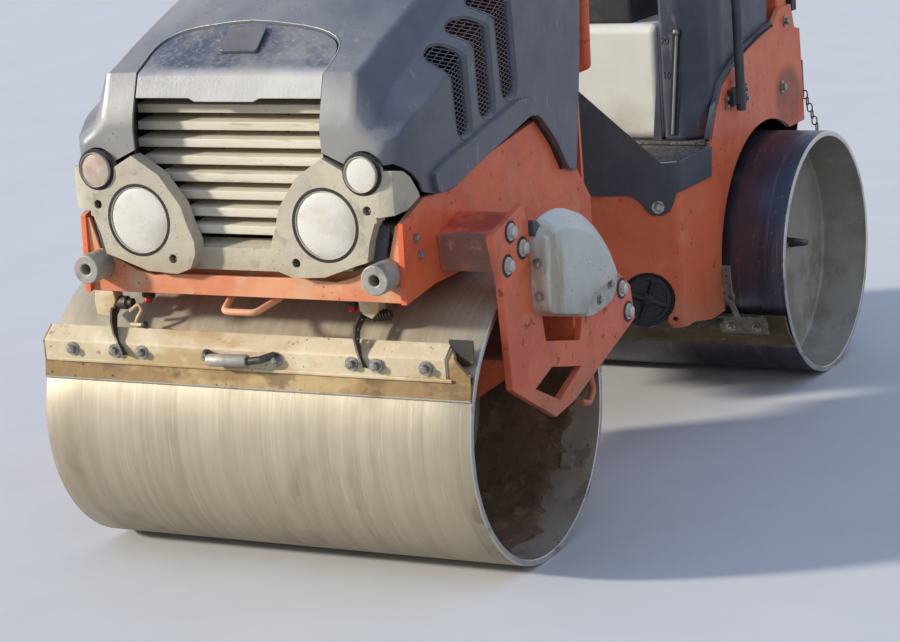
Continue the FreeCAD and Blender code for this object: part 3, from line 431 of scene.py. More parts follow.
IRON = Finish("engine_iron", (70, 70, 72), 0.6, 0.4, layers=(
    Layer((42, 38, 34), 6, 0.46, 0.62, 0.7),
    Layer((132, 122, 104), 10, 0.6, 0.95, 0.5, Spread.DUST),
), grains=(Grain(60, 0.002),))
CORE = Finish("radiator_core", (86, 86, 88), 0.5, 0.7, layers=(
    Layer((132, 126, 112), 8, 0.46, 0.62, 0.6),), grains=(Grain(160, 0.003, (1, 1, 0.1)),))
CHROME = Finish("chromed_rod", (210, 210, 212), 0.12, 1.0, layers=(
    Layer((150, 144, 132), 30, 0.58, 0.7, 0.4, rough=0.4),), grains=(Grain(90, 0.0002),))
PALE = Finish("clear_lens", (226, 226, 220), 0.2, coat=0.5, clear=0.2, layers=(
    Layer((190, 184, 166), 40, 0.5, 0.64, 0.5),), grains=(Grain(60, 0.001),))
RED = Finish("red_lens", (176, 28, 22), 0.2, coat=0.6, layers=(
    Layer((120, 22, 20), 40, 0.5, 0.64, 0.5),), grains=(Grain(60, 0.001),))
NOZZLE = Finish("red_nozzle", (196, 40, 34), 0.45, layers=(
    Layer((120, 60, 48), 50, 0.5, 0.64, 0.6),), grains=(Grain(120, 0.0006),))
VINYL = Finish("seat_vinyl", (34, 34, 37), 0.5, coat=0.05, layers=(
    Layer((66, 64, 62), 6, 0.48, 0.66, 0.5, rough=0.65),
    Layer((120, 112, 98), 14, 0.7, 1.0, 0.3, Spread.DUST, rough=0.8),
), grains=(Grain(320, 0.0008, detail=1.0), Grain(16, 0.002)))
PIPING = Finish("seat_piping", (52, 52, 55), 0.55, layers=(
    Layer((84, 80, 76), 60, 0.5, 0.64, 0.5),), grains=(Grain(400, 0.0005),))
GAUGE = Finish("gauge_face", (222, 220, 208), 0.4, coat=0.5, layers=(
    Layer((180, 176, 160), 40, 0.5, 0.64, 0.4),), grains=(Grain(200, 0.0002),))


def curve(start: Vector, corner: Vector, end: Vector, steps: int) -> list[tuple[float, ...]]:
    """Points of the bend that leaves start towards a corner and arrives at end."""
    made = []
    for step in range(steps + 1):
        t = step / steps
        made.append(tuple((1 - t) ** 2 * start + 2 * t * (1 - t) * corner + t * t * end))
    return made


def rounded(outline: Sequence[Pair], radius: float, steps: int = 4) -> list[Pair]:
    """Closed outline with its corners rounded.

    Args:
        outline: corners in order.
        radius: how far from each corner the curve starts, at most.
        steps: straight bits in each curve.

    Returns:
        The longer outline.
    """
    made = []
    for i, corner in enumerate(outline):
        here = Vector(corner)
        before = Vector(outline[i - 1]) - here
        after = Vector(outline[(i + 1) % len(outline)]) - here
        start, end = (here + way.normalized() * min(radius, way.length * 0.45) for way in (before, after))
        made += curve(start, here, end, steps)
    return made


def grown(outline: Sequence[Pair], by: float) -> list[Pair]:
    """Closed outline moved outwards by a distance (inwards if it is negative)."""
    area = sum(a[0] * b[1] - b[0] * a[1] for a, b in zip(outline, [*outline[1:], outline[0]]))
    side = 1 if area > 0 else -1
    made = []
    for i, corner in enumerate(outline):
        here = Vector(corner)
        incoming = (here - Vector(outline[i - 1])).normalized()
        outgoing = (Vector(outline[(i + 1) % len(outline)]) - here).normalized()
        out_a = Vector((incoming.y, -incoming.x)) * side
        out_b = Vector((outgoing.y, -outgoing.x)) * side
        middle = out_a + out_b
        middle = middle.normalized() if middle.length > 1e-6 else out_a
        made.append(tuple(here + middle * by / max(middle.dot(out_a), 0.5)))
    return made


def new_object(name: str, points: Sequence[Sequence[float]], faces: Sequence[Sequence[int]],
               edges: Sequence[Pair] = ()) -> bpy.types.Object:
    """Mesh object at the origin, linked to the scene."""
    mesh = bpy.data.meshes.new(name)
    mesh.from_pydata([tuple(p) for p in points], list(edges), list(faces))
    obj = bpy.data.objects.new(name, mesh)
    bpy.context.scene.collection.objects.link(obj)
    return obj


def mend(obj: bpy.types.Object, gap: float = 1e-5, outward: bool = True) -> bpy.types.Object:
    """Merge the points that meet and turn the faces outwards."""
    work = bmesh.new()
    work.from_mesh(obj.data)
    bmesh.ops.remove_doubles(work, verts=work.verts, dist=gap)
    if outward:
        bmesh.ops.recalc_face_normals(work, faces=work.faces)
    work.to_mesh(obj.data)
    work.free()
    return obj


def oblong(a: float, b: float, c: float, d: float) -> list[Pair]:
    """Outline of a rectangle from a to b and from c to d."""
    return [(a, c), (b, c), (b, d), (a, d)]


def loft(name: str, rings: Sequence[Sequence[Sequence[float]]], caps: bool = True, closed: bool = True,
         looped: bool = False) -> bpy.types.Object:
    """Skin over rings of equal counts.

    Args:
        name: the object's name.
        rings: points of each ring in order.
        caps: whether the first and last ring are filled.
        closed: whether each ring runs round.
        looped: whether the last ring joins the first.

    Returns:
        The object, with its faces outwards.
    """
    count = len(rings[0])
    points = [p for ring in rings for p in ring]
    faces = []
    turns = len(rings) if looped else len(rings) - 1
    for r in range(turns):
        near, far = r * count, (r + 1) % len(rings) * count
        for i in range(count if closed else count - 1):
            j = (i + 1) % count
            faces.append((near + i, near + j, far + j, far + i))
    if caps and not looped:
        faces.append(tuple(range(count)))
        faces.append(tuple(range(len(points) - count, len(points))))
    return mend(new_object(name, points, faces))


class Axis(Enum):
    """Direction in which a flat outline is drawn out."""

    X = 0
    Y = 1
    Z = 2

    def place(self, pair: Pair, along: float) -> Vec3:
        """Point of an outline across this axis, at a distance along it."""
        if self is Axis.X:
            return (along, pair[0], pair[1])
        if self is Axis.Y:
            return (pair[0], along, pair[1])
        return (pair[0], pair[1], along)


def prism(name: str, axis: Axis, outline: Sequence[Pair], start: float, end: float) -> bpy.types.Object:
    """Plate or bar on an outline in metres, between two places along an axis in either order."""
    return loft(name, [[axis.place(p, along) for p in outline] for along in sorted((start, end))])


def lathe(name: str, profile: Sequence[Pair], centre: Vec3, direction: Vec3, count: int = 48,
          looped: bool = True) -> bpy.types.Object:
    """Turned piece.

    Args:
        name: the object's name.
        profile: (radius, distance along the axis) of each bend.
        centre: where the axis starts.
        direction: the axis.
        count: straight bits round it.
        looped: whether the profile closes on itself.

    Returns:
        The object.
    """
    turn = Vector((0, 0, 1)).rotation_difference(Vector(direction).normalized()).to_matrix()
    rings = []
    for radius, along in profile:
        ring = []
        for i in range(count):
            a = 2 * math.pi * i / count
            ring.append(tuple(Vector(centre) + turn @ Vector((radius * math.cos(a), radius * math.sin(a),
                                                              along))))
        rings.append(ring)
    return loft(name, rings, caps=not looped, looped=looped)


def spindle(name: str, profile: Sequence[Pair], centre: Vec3, direction: Vec3,
            count: int) -> bpy.types.Object:
    """Turned piece, closed across both ends of its profile."""
    return lathe(name, profile, centre, direction, count, looped=False)


def in_finish(obj: bpy.types.Object, finish: Finish) -> bpy.types.Object:
    """The piece with a finish added."""
    obj.data.materials.append(finish.material())
    return obj


def walled(obj: bpy.types.Object, thickness: float, offset: float, even: bool = False) -> bpy.types.Object:
    """A skin given thickness; an offset of -1 lays all of it inside."""
    solid = obj.modifiers.new("wall", "SOLIDIFY")
    solid.thickness, solid.offset, solid.use_even_offset = thickness, offset, even
    return settle(obj)


def both(line: Sequence[Vec3]) -> list[Sequence[Vec3]]:
    """A line of points and its mirror on the machine's other side."""
    return [line, [(-x, y, z) for x, y, z in line]]


def settle(obj: bpy.types.Object) -> bpy.types.Object:
    """Turn the object's modifiers into plain mesh."""
    bpy.context.view_layer.update()
    graph = bpy.context.evaluated_depsgraph_get()
    mesh = bpy.data.meshes.new_from_object(obj.evaluated_get(graph))
    obj.modifiers.clear()
    old, obj.data = obj.data, mesh
    bpy.data.meshes.remove(old)
    return obj


def soften(obj: bpy.types.Object, width: float, steps: int = 2, angle: float = 32.0) -> bpy.types.Object:
    """Round the sharp edges and shade the rest smooth; wide faces stay flat."""
    for polygon in obj.data.polygons:
        polygon.use_smooth = True
    obj.data.set_sharp_from_angle(angle=math.radians(angle))
    if width > 0:
        bevel = obj.modifiers.new("rounding", "BEVEL")
        bevel.width, bevel.segments, bevel.limit_method = width, steps, "ANGLE"
        bevel.angle_limit = math.radians(angle)
        bevel.use_clamp_overlap = True
        settle(obj)
        obj.data.set_sharp_from_angle(angle=math.radians(50))
        flat = obj.modifiers.new("flat faces", "WEIGHTED_NORMAL")
        flat.keep_sharp = True
        settle(obj)
    return obj


def cut(obj: bpy.types.Object, *tools: bpy.types.Object) -> bpy.types.Object:
    """Take the tools' shapes out of a piece; the tools are used up."""
    for tool in tools:
        boolean = obj.modifiers.new("cut", "BOOLEAN")
        boolean.object, boolean.operation, boolean.solver = tool, "DIFFERENCE", "EXACT"
    settle(obj)
    for tool in tools:
        bpy.data.objects.remove(tool)
    return obj


def joined(name: str, pieces: Sequence[bpy.types.Object]) -> bpy.types.Object:
    """Several meshes as one object, which keeps each mesh's own finish."""
    points, faces, slots, mats, smooth = [], [], [], [], []
    for piece in pieces:
        start = len(points)
        points.extend(tuple(v.co) for v in piece.data.vertices)
        used = list(piece.data.materials) or [None]
        for mat in used:
            if mat not in mats:
                mats.append(mat)
        for polygon in piece.data.polygons:
            faces.append([start + i for i in polygon.vertices])
            slots.append(mats.index(used[polygon.material_index]))
            smooth.append(polygon.use_smooth)
    obj = new_object(name, points, faces)
    for mat in mats:
        if mat:
            obj.data.materials.append(mat)
    if any(mats):
        obj.data.polygons.foreach_set("material_index", slots)
    obj.data.polygons.foreach_set("use_smooth", smooth)
    for piece in pieces:
        bpy.data.objects.remove(piece)
    obj.data.set_sharp_from_angle(angle=math.radians(40))
    return obj


def strap(name: str, centres: Sequence[Vec3], half_width: float, half_thick: float) -> bpy.types.Object:
    """Flat strap through points; its wide sides face left and right."""
    rings = []
    for i, here in enumerate(centres):
        run = Vector(centres[min(i + 1, len(centres) - 1)]) - Vector(centres[max(i - 1, 0)])
        side = run.cross(Vector(LEFT)).normalized() * half_width
        thick = Vector((half_thick, 0, 0))
        rings.append([tuple(Vector(here) + a * side + b * thick) for a, b in ((1, 1), (1, -1), (-1, -1), (-1,
                                                                                                          1))])
    return loft(name, rings)


def coil(start: Vec3, run: Vec3, radius: float, turns: int) -> list[Vec3]:
    """Points of a spring wound round a line."""
    axis = Vector(run)
    turn = Vector((0, 0, 1)).rotation_difference(axis.normalized()).to_matrix()
    points = []
    for k in range(turns * 12 + 1):
        a = 2 * math.pi * k / 12
        off = turn @ Vector((radius * math.cos(a), radius * math.sin(a), 0))
        points.append(tuple(Vector(start) + axis * (k / (turns * 12)) + off))
    return points


def mirrored(obj: bpy.types.Object, name: str) -> bpy.types.Object:
    """The same piece on the machine's other side."""
    points = [(-v.co.x, v.co.y, v.co.z) for v in obj.data.vertices]
    faces = [tuple(reversed(p.vertices)) for p in obj.data.polygons]
    twin = new_object(name, points, faces)
    for polygon, source in zip(twin.data.polygons, obj.data.polygons):
        polygon.use_smooth = source.use_smooth
        polygon.material_index = source.material_index
    for mat in obj.data.materials:
        twin.data.materials.append(mat)
    twin.data.set_sharp_from_angle(angle=math.radians(40))
    return twin


class Recipe(Graph):
    """A Geometry Nodes tree with named inputs for its sizes, a finish, and a plain mesh as its result."""

    def __init__(self, name: str, sizes: dict[str, float]) -> None:
        """Start the tree with its named inputs."""
        super().__init__(bpy.data.node_groups.new(name, "GeometryNodeTree"))
        socket = self.tree.interface.new_socket
        socket("Geometry", in_out="INPUT", socket_type="NodeSocketGeometry")
        self.keys = {}
        for key, value in sizes.items():
            entry = socket(key, in_out="INPUT", socket_type="NodeSocketFloat")
            entry.default_value = value
            self.keys[key] = entry.identifier
        self.keys["Finish"] = socket("Finish", in_out="INPUT", socket_type="NodeSocketMaterial").identifier
        socket("Geometry", in_out="OUTPUT", socket_type="NodeSocketGeometry")
        self.source = self.tree.nodes.new("NodeGroupInput")

    def size(self, key: str):
        """Socket of a named input."""
        return self.source.outputs[key]

    def add(self, kind: str, first: object = None, settings: Optional[dict] = None, **inputs: object):
        """Add a geometry node.

        Args:
            kind: Blender's name of the node type, without its GeometryNode.
            first: value or socket for the first input.
            settings: the node's own options.
            inputs: values or sockets by input name, with _ for a space.

        Returns:
            The node's first output.
        """
        named: dict[Socket, object] = {key.replace("_", " "): value for key, value in inputs.items()}
        if first is not None:
            named[0] = first
        return self.node("GeometryNode" + kind, settings, named).outputs[0]

    def join(self, *parts):
        """One geometry of several."""
        gathered = self.node("GeometryNodeJoinGeometry")
        for part in parts:
            self.tree.links.new(part, gathered.inputs[0])
        return gathered.outputs[0]

    def vector(self, x=0.0, y=0.0, z=0.0):
        """Vector of three values."""
        return self.node("ShaderNodeCombineXYZ", None, {0: x, 1: y, 2: z}).outputs[0]

    def raised(self, part, height):
        """Geometry moved up."""
        return self.add("Transform", part, Translation=self.vector(z=height))

    def bent(self, line, radius, steps: int):
        """Curve with rounded knees of so many straight bits."""
        return self.add("FilletCurve", line, {"mode": "POLY"}, Radius=radius, Limit_Radius=True, Count=steps)

    def close(self, part) -> None:
        """End the tree: real mesh, with its finish."""
        painted = self.add("SetMaterial", self.add("RealizeInstances", part), Material=self.size("Finish"))
        self.node("NodeGroupOutput", None, {0: painted})

    def make(self, obj: bpy.types.Object, finish: Finish, **sizes: float) -> bpy.types.Object:
        """Run the tree on an object's mesh.

        Args:
            obj: points or edges that the tree works on.
            finish: what the result is made of.
            sizes: values for named inputs, with _ for a space.

        Returns:
            The same object with the finished mesh.
        """
        modifier = obj.modifiers.new("recipe", "NODES")
        modifier.node_group = self.tree
        modifier[self.keys["Finish"]] = finish.material()
        for key, value in sizes.items():
            modifier[self.keys[key.replace("_", " ").capitalize()]] = value
        return settle(obj)


def screw_recipe() -> Recipe:
    """Hexagon head on a washer at each point, standing along its aim."""
    sizes = {"Radius": 0.009, "Head": 0.008, "Washer": 0.014, "Plate": 0.0025}
    recipe = Recipe("hex_screws", sizes)
    radius, head, washer, plate = map(recipe.size, sizes)
    disc = recipe.add("MeshCylinder", Vertices=20, Radius=washer, Depth=plate)
    hexagon = recipe.add("MeshCylinder", Vertices=6, Radius=radius, Depth=head)
    crown = recipe.add("MeshCone", Vertices=12, Radius_Top=recipe.times(radius, 0.55),
                       Radius_Bottom=recipe.times(radius, 0.82), Depth=recipe.times(head, 0.18))
    middle = recipe.sum("ADD", plate, recipe.times(head, 0.5))
    shape = recipe.join(recipe.raised(disc, recipe.times(plate, 0.5)), recipe.raised(hexagon, middle),
                        recipe.raised(crown, recipe.sum("ADD", plate, head)))
    aim = recipe.add("InputNamedAttribute", None, {"data_type": "FLOAT_VECTOR"}, Name="aim")
    stand = recipe.node("FunctionNodeAlignRotationToVector", {"axis": "Z"}, {"Vector": aim})
    chance = recipe.node("FunctionNodeRandomValue", {"data_type": "FLOAT"}, {"Min": 0.0, "Max": 1.0,
                                                                             "Seed": SEED})
    spin = recipe.node("FunctionNodeAxisAngleToRotation", None, {"Axis": (0, 0, 1),
                                                                 "Angle": chance.outputs[1]})
    turned = recipe.node("FunctionNodeRotateRotation", {"rotation_space": "LOCAL"},
                         {"Rotation": stand.outputs[0], "Rotate By": spin.outputs[0]}).outputs[0]
    recipe.close(recipe.add("InstanceOnPoints", recipe.size("Geometry"), Instance=shape, Rotation=turned))
    return recipe


def rod_recipe() -> Recipe:
    """Round rod along each chain of edges, with rounded knees."""
    sizes = {"Radius": 0.002, "Knee": 0.0, "Sides": 8}
    recipe = Recipe("round_rods", sizes)
    radius, knee, sides = map(recipe.size, sizes)
    line = recipe.bent(recipe.add("MeshToCurve", recipe.size("Geometry")), knee, 5)
    profile = recipe.add("CurvePrimitiveCircle", Resolution=sides, Radius=radius)
    tube = recipe.add("CurveToMesh", line, Profile_Curve=profile, Fill_Caps=True)
    recipe.close(recipe.add("SetShadeSmooth", tube))
    return recipe


def slat_recipe() -> Recipe:
    """Shelf-like slat along each edge, with a rounded front nose and a rising top."""
    sizes = {"Nose": 0.022, "Depth": 0.095, "Rise": 0.010, "Skin": 0.006, "Edge": 0.003}
    recipe = Recipe("grille_slats", sizes)
    nose, depth, rise, skin, edge = map(recipe.size, sizes)
    line = recipe.add("SetCurveNormal", recipe.add("MeshToCurve", recipe.size("Geometry")), {"mode": "Z_UP"})
    back, over, under = recipe.times(depth, -1.0), recipe.times(rise, -1.0), recipe.sum("SUBTRACT", skin,
                                                                                        rise)
    profile = recipe.add("CurvePrimitiveQuadrilateral", None, {"mode": "POINTS"},
                         Point_1=recipe.vector(), Point_2=recipe.vector(back, over),
                         Point_3=recipe.vector(back, under), Point_4=recipe.vector(0.0, nose))
    recipe.close(recipe.add("CurveToMesh", line, Profile_Curve=recipe.bent(profile, edge, 4), Fill_Caps=True))
    return recipe


def chain_recipe() -> Recipe:
    """Oval link at each point, every other one turned a quarter."""
    sizes = {"Length": 0.026, "Width": 0.016, "Wire": 0.0022}
    recipe = Recipe("chain_links", sizes)
    length, width, wire = map(recipe.size, sizes)
    quarter = math.pi / 2
    oval = recipe.add("CurvePrimitiveQuadrilateral", None, {"mode": "RECTANGLE"}, Width=width, Height=length)
    ring = recipe.add("CurvePrimitiveCircle", Resolution=6, Radius=wire)
    flat = recipe.add("CurveToMesh", recipe.bent(oval, recipe.times(width, 0.48), 4), Profile_Curve=ring)
    link = recipe.add("SetShadeSmooth", recipe.add("Transform", flat, Rotation=(quarter, 0, 0)))
    turn = recipe.vector(z=recipe.times(recipe.sum("MODULO", recipe.add("InputIndex"), 2.0), quarter))
    recipe.close(recipe.add("InstanceOnPoints", recipe.size("Geometry"), Instance=link, Rotation=turn))
    return recipe


SCREWS, RODS, SLATS, CHAIN = screw_recipe(), rod_recipe(), slat_recipe(), chain_recipe()


def aimed_points(name: str, places: Sequence[Vec3], aims: Sequence[Vec3]) -> bpy.types.Object:
    """Loose points that know which way a screw on them stands."""
    obj = new_object(name, places, [])
    attribute = obj.data.attributes.new("aim", "FLOAT_VECTOR", "POINT")
    for entry, aim in zip(attribute.data, aims):
        entry.vector = aim
    return obj


def chained_points(name: str, lines: Sequence[Sequence[Vec3]]) -> bpy.types.Object:
    """Edges along each line of points."""
    points, edges = [], []
    for line in lines:
        start = len(points)
        points.extend(line)
        edges.extend((start + i, start + i + 1) for i in range(len(line) - 1))
    return new_object(name, points, [], edges)


@dataclass
class Assembly:
    """A sub-assembly: the CAD body that its pieces ride on."""

    body: str

    def keep(self, obj: bpy.types.Object, slot: str, finish: Optional[Finish] = None,
             replaces: Sequence[str] = (), body: Optional[str] = None) -> bpy.types.Object:
        """Finish a piece and hand it to its body.

        Args:
            obj: the piece.
            slot: not used.
            finish: what it is made of, unless its mesh already says.
            replaces: CAD nodes that it stands for.
            body: another body than the assembly's own.

        Returns:
            The piece.
        """
        if finish:
            obj.data.materials.clear()
            obj.data.materials.append(finish.material())
        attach(obj, body or self.body)
        if replaces:
            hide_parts(*replaces)
        log.info("%s: %d faces on %s", obj.name, len(obj.data.polygons), body or self.body)
        return obj

    def eased(self, node: str, finish: Finish, slot: str, width: float = 0.003, steps: int = 2,
              change: Optional[Callable[[bpy.types.Object], None]] = None) -> bpy.types.Object:
        """The CAD node's shape with rounded edges and its real finish."""
        obj = new_object(node + ".eased", [], [])
        obj.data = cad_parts[node].data.copy()
        work = bmesh.new()
        work.from_mesh(obj.data)
        bmesh.ops.remove_doubles(work, verts=work.verts, dist=2e-5)
        bmesh.ops.dissolve_limit(work, angle_limit=math.radians(0.7), verts=work.verts, edges=work.edges)
        work.to_mesh(obj.data)
        work.free()
        if change:
            change(obj)
        soften(obj, width, steps)
        return self.keep(obj, slot, finish, [node])

    def group(self, name: str, pieces: Sequence[bpy.types.Object], slot: str, finish: Finish,
              ease: float = 0.0) -> None:
        """Several pieces of one finish, softened and kept as one."""
        self.keep(soften(joined(name, pieces), ease), slot, finish)

    def screws(self, name: str, rows: Sequence[tuple[Vec3, Vec3]], finish: Finish = BOLT,
               **sizes: float) -> bpy.types.Object:
        """Hexagon screws at (place, direction) rows."""
        obj = aimed_points(name, [place for place, _ in rows], [aim for _, aim in rows])
        return self.keep(SCREWS.make(obj, finish, **sizes), "dark_steel")

    def rods(self, name: str, lines: Sequence[Sequence[Vec3]], finish: Finish, slot: str,
             replaces: Sequence[str] = (), **sizes: float) -> bpy.types.Object:
        """Round rods along lines of points."""
        obj = chained_points(name, lines)
        return self.keep(RODS.make(obj, finish, **sizes), slot, None, replaces)


def spline_value(places: Sequence[float], values: Sequence[float], at: float) -> float:
    """Smooth curve through values at rising places, straight up to the second, read at one place."""
    at = min(max(at, places[0]), places[-1])
    i = max(k for k in range(len(places) - 1) if places[k] <= at)
    if i == 0:
        return values[0] + (values[1] - values[0]) * (at - places[0]) / (places[1] - places[0])

    def slope(k: int) -> float:
        """Steepness at one of the places."""
        low, high = max(k - 1, 1), min(k + 1, len(places) - 1)
        return (values[high] - values[low]) / (places[high] - places[low])

    width = places[i + 1] - places[i]
    t = (at - places[i]) / width
    blend = (2 * t ** 3 - 3 * t ** 2 + 1, t ** 3 - 2 * t ** 2 + t, -2 * t ** 3 + 3 * t ** 2, t ** 3 - t ** 2)
    return (blend[0] * values[i] + blend[1] * width * slope(i)
            + blend[2] * values[i + 1] + blend[3] * width * slope(i + 1))


def inside(outline: Sequence[Pair], point: Pair) -> bool:
    """Whether a point lies inside a closed outline."""
    found = False
    for a, b in zip(outline, [*outline[1:], outline[0]]):
        if (a[1] > point[1]) != (b[1] > point[1]):
            if point[0] < (b[0] - a[0]) * (point[1] - a[1]) / (b[1] - a[1]) + a[0]:
                found = not found
    return found


# Hood sections. Columns: y, then heights on the centre line, at the crown and at the ridge, then x and z of
# the valley and of the shoulder
HOOD_STATIONS = metres([
    (-1318, 1143, 1143, 1141, 375, 1120, 415, 1092), (-1277, 1256, 1256, 1253, 388, 1140, 445, 1104),
    (-1225, 1294, 1288, 1273, 386, 1190, 454, 1140), (-1150, 1358, 1340, 1305, 383, 1227, 458, 1163),
    (-1045, 1422, 1402, 1345, 381, 1275, 458, 1208), (-950, 1462, 1441, 1380, 377, 1319, 458, 1249),
    (-800, 1500, 1483, 1430, 371, 1389, 458, 1315), (-640, 1522, 1508, 1462, 368, 1428, 458, 1362),
    (-440, 1530, 1518, 1476, 368, 1446, 458, 1385), (-262, 1500, 1490, 1450, 368, 1420, 458, 1360),
])
# Lower edge of the hood's side, then the outline of its raised lip: (y, z)
HOOD_EDGE = metres([
    (-1330, 1047), (-1295, 1048), (-1247, 1018), (-1218, 989), (-1207, 966), (-1160, 953), (-1091, 950),
    (-979, 978), (-848, 1007), (-661, 1047), (-617, 1040), (-571, 1002), (-521, 952), (-470, 880),
    (-400, 860), (-340, 1141), (-318, 1286), (-262, 1330),
])
HOOD_LIP = metres([
    (-1172, 999), (-1160, 953), (-1091, 950), (-979, 978), (-848, 1007), (-661, 1047), (-617, 1040),
    (-571, 1002), (-521, 952), (-470, 880), (-430, 870), (-500, 982), (-558, 1049), (-631, 1090),
    (-714, 1096), (-1104, 1021),
])
VENTS = tuple(metres(v) for v in (
    [(-1054, 1252), (-1015, 1272), (-982, 1272), (-962, 1250), (-955, 1069), (-970, 1057), (-1005, 1057),
     (-1022, 1075), (-1034, 1215)],
    [(-944, 1298), (-905, 1318), (-860, 1318), (-836, 1295), (-828, 1099), (-842, 1082), (-882, 1082),
     (-905, 1100), (-909, 1268)],
    [(-835, 1347), (-790, 1366), (-735, 1362), (-712, 1330), (-705, 1127), (-722, 1107), (-762, 1107),
     (-783, 1127), (-794, 1315)],
))
# Motor cover at the arm and at its face: (y, z)
COVER_FOOT = metres([(-1000, 634), (-998, 820), (-955, 852), (-870, 859), (-811, 850), (-708, 812),
    (-637, 763), (-568, 695), (-524, 622), (-557, 567), (-696, 555)])
COVER_FACE = metres([(-1000, 634), (-1000, 812), (-985, 818), (-923, 824), (-849, 814), (-746, 779),
    (-690, 735), (-635, 680), (-600, 625), (-630, 585), (-696, 560)])
COVER_SCOOP = metres([(-810, 520), (-792, 600), (-775, 624), (-713, 634), (-655, 638), (-606, 650), (-470,
                                                                                                     690),
                      (-440, 520)])
# Upper edge of the rear side plates, where the shells meet it: (y, z)
SHELL_EDGE = metres([(508, 768), (565, 850), (619, 913), (699, 947), (790, 980), (905, 1001), (1030, 1027)])
# Rear edge of the cap panel's opening, from the middle out: (x, y)
CAP_ARCH = metres([(0, -1150), (60, -1151), (145, -1153), (185, -1156), (212, -1160), (232, -1167), (246,
                                                                                                     -1178),
                   (254, -1193), (258, -1212)])
# Lamps: x, z, radius
BIG_LAMP = (0.258, 0.908, 0.078)
CORNER_LAMP = (0.366, 1.029, 0.040)


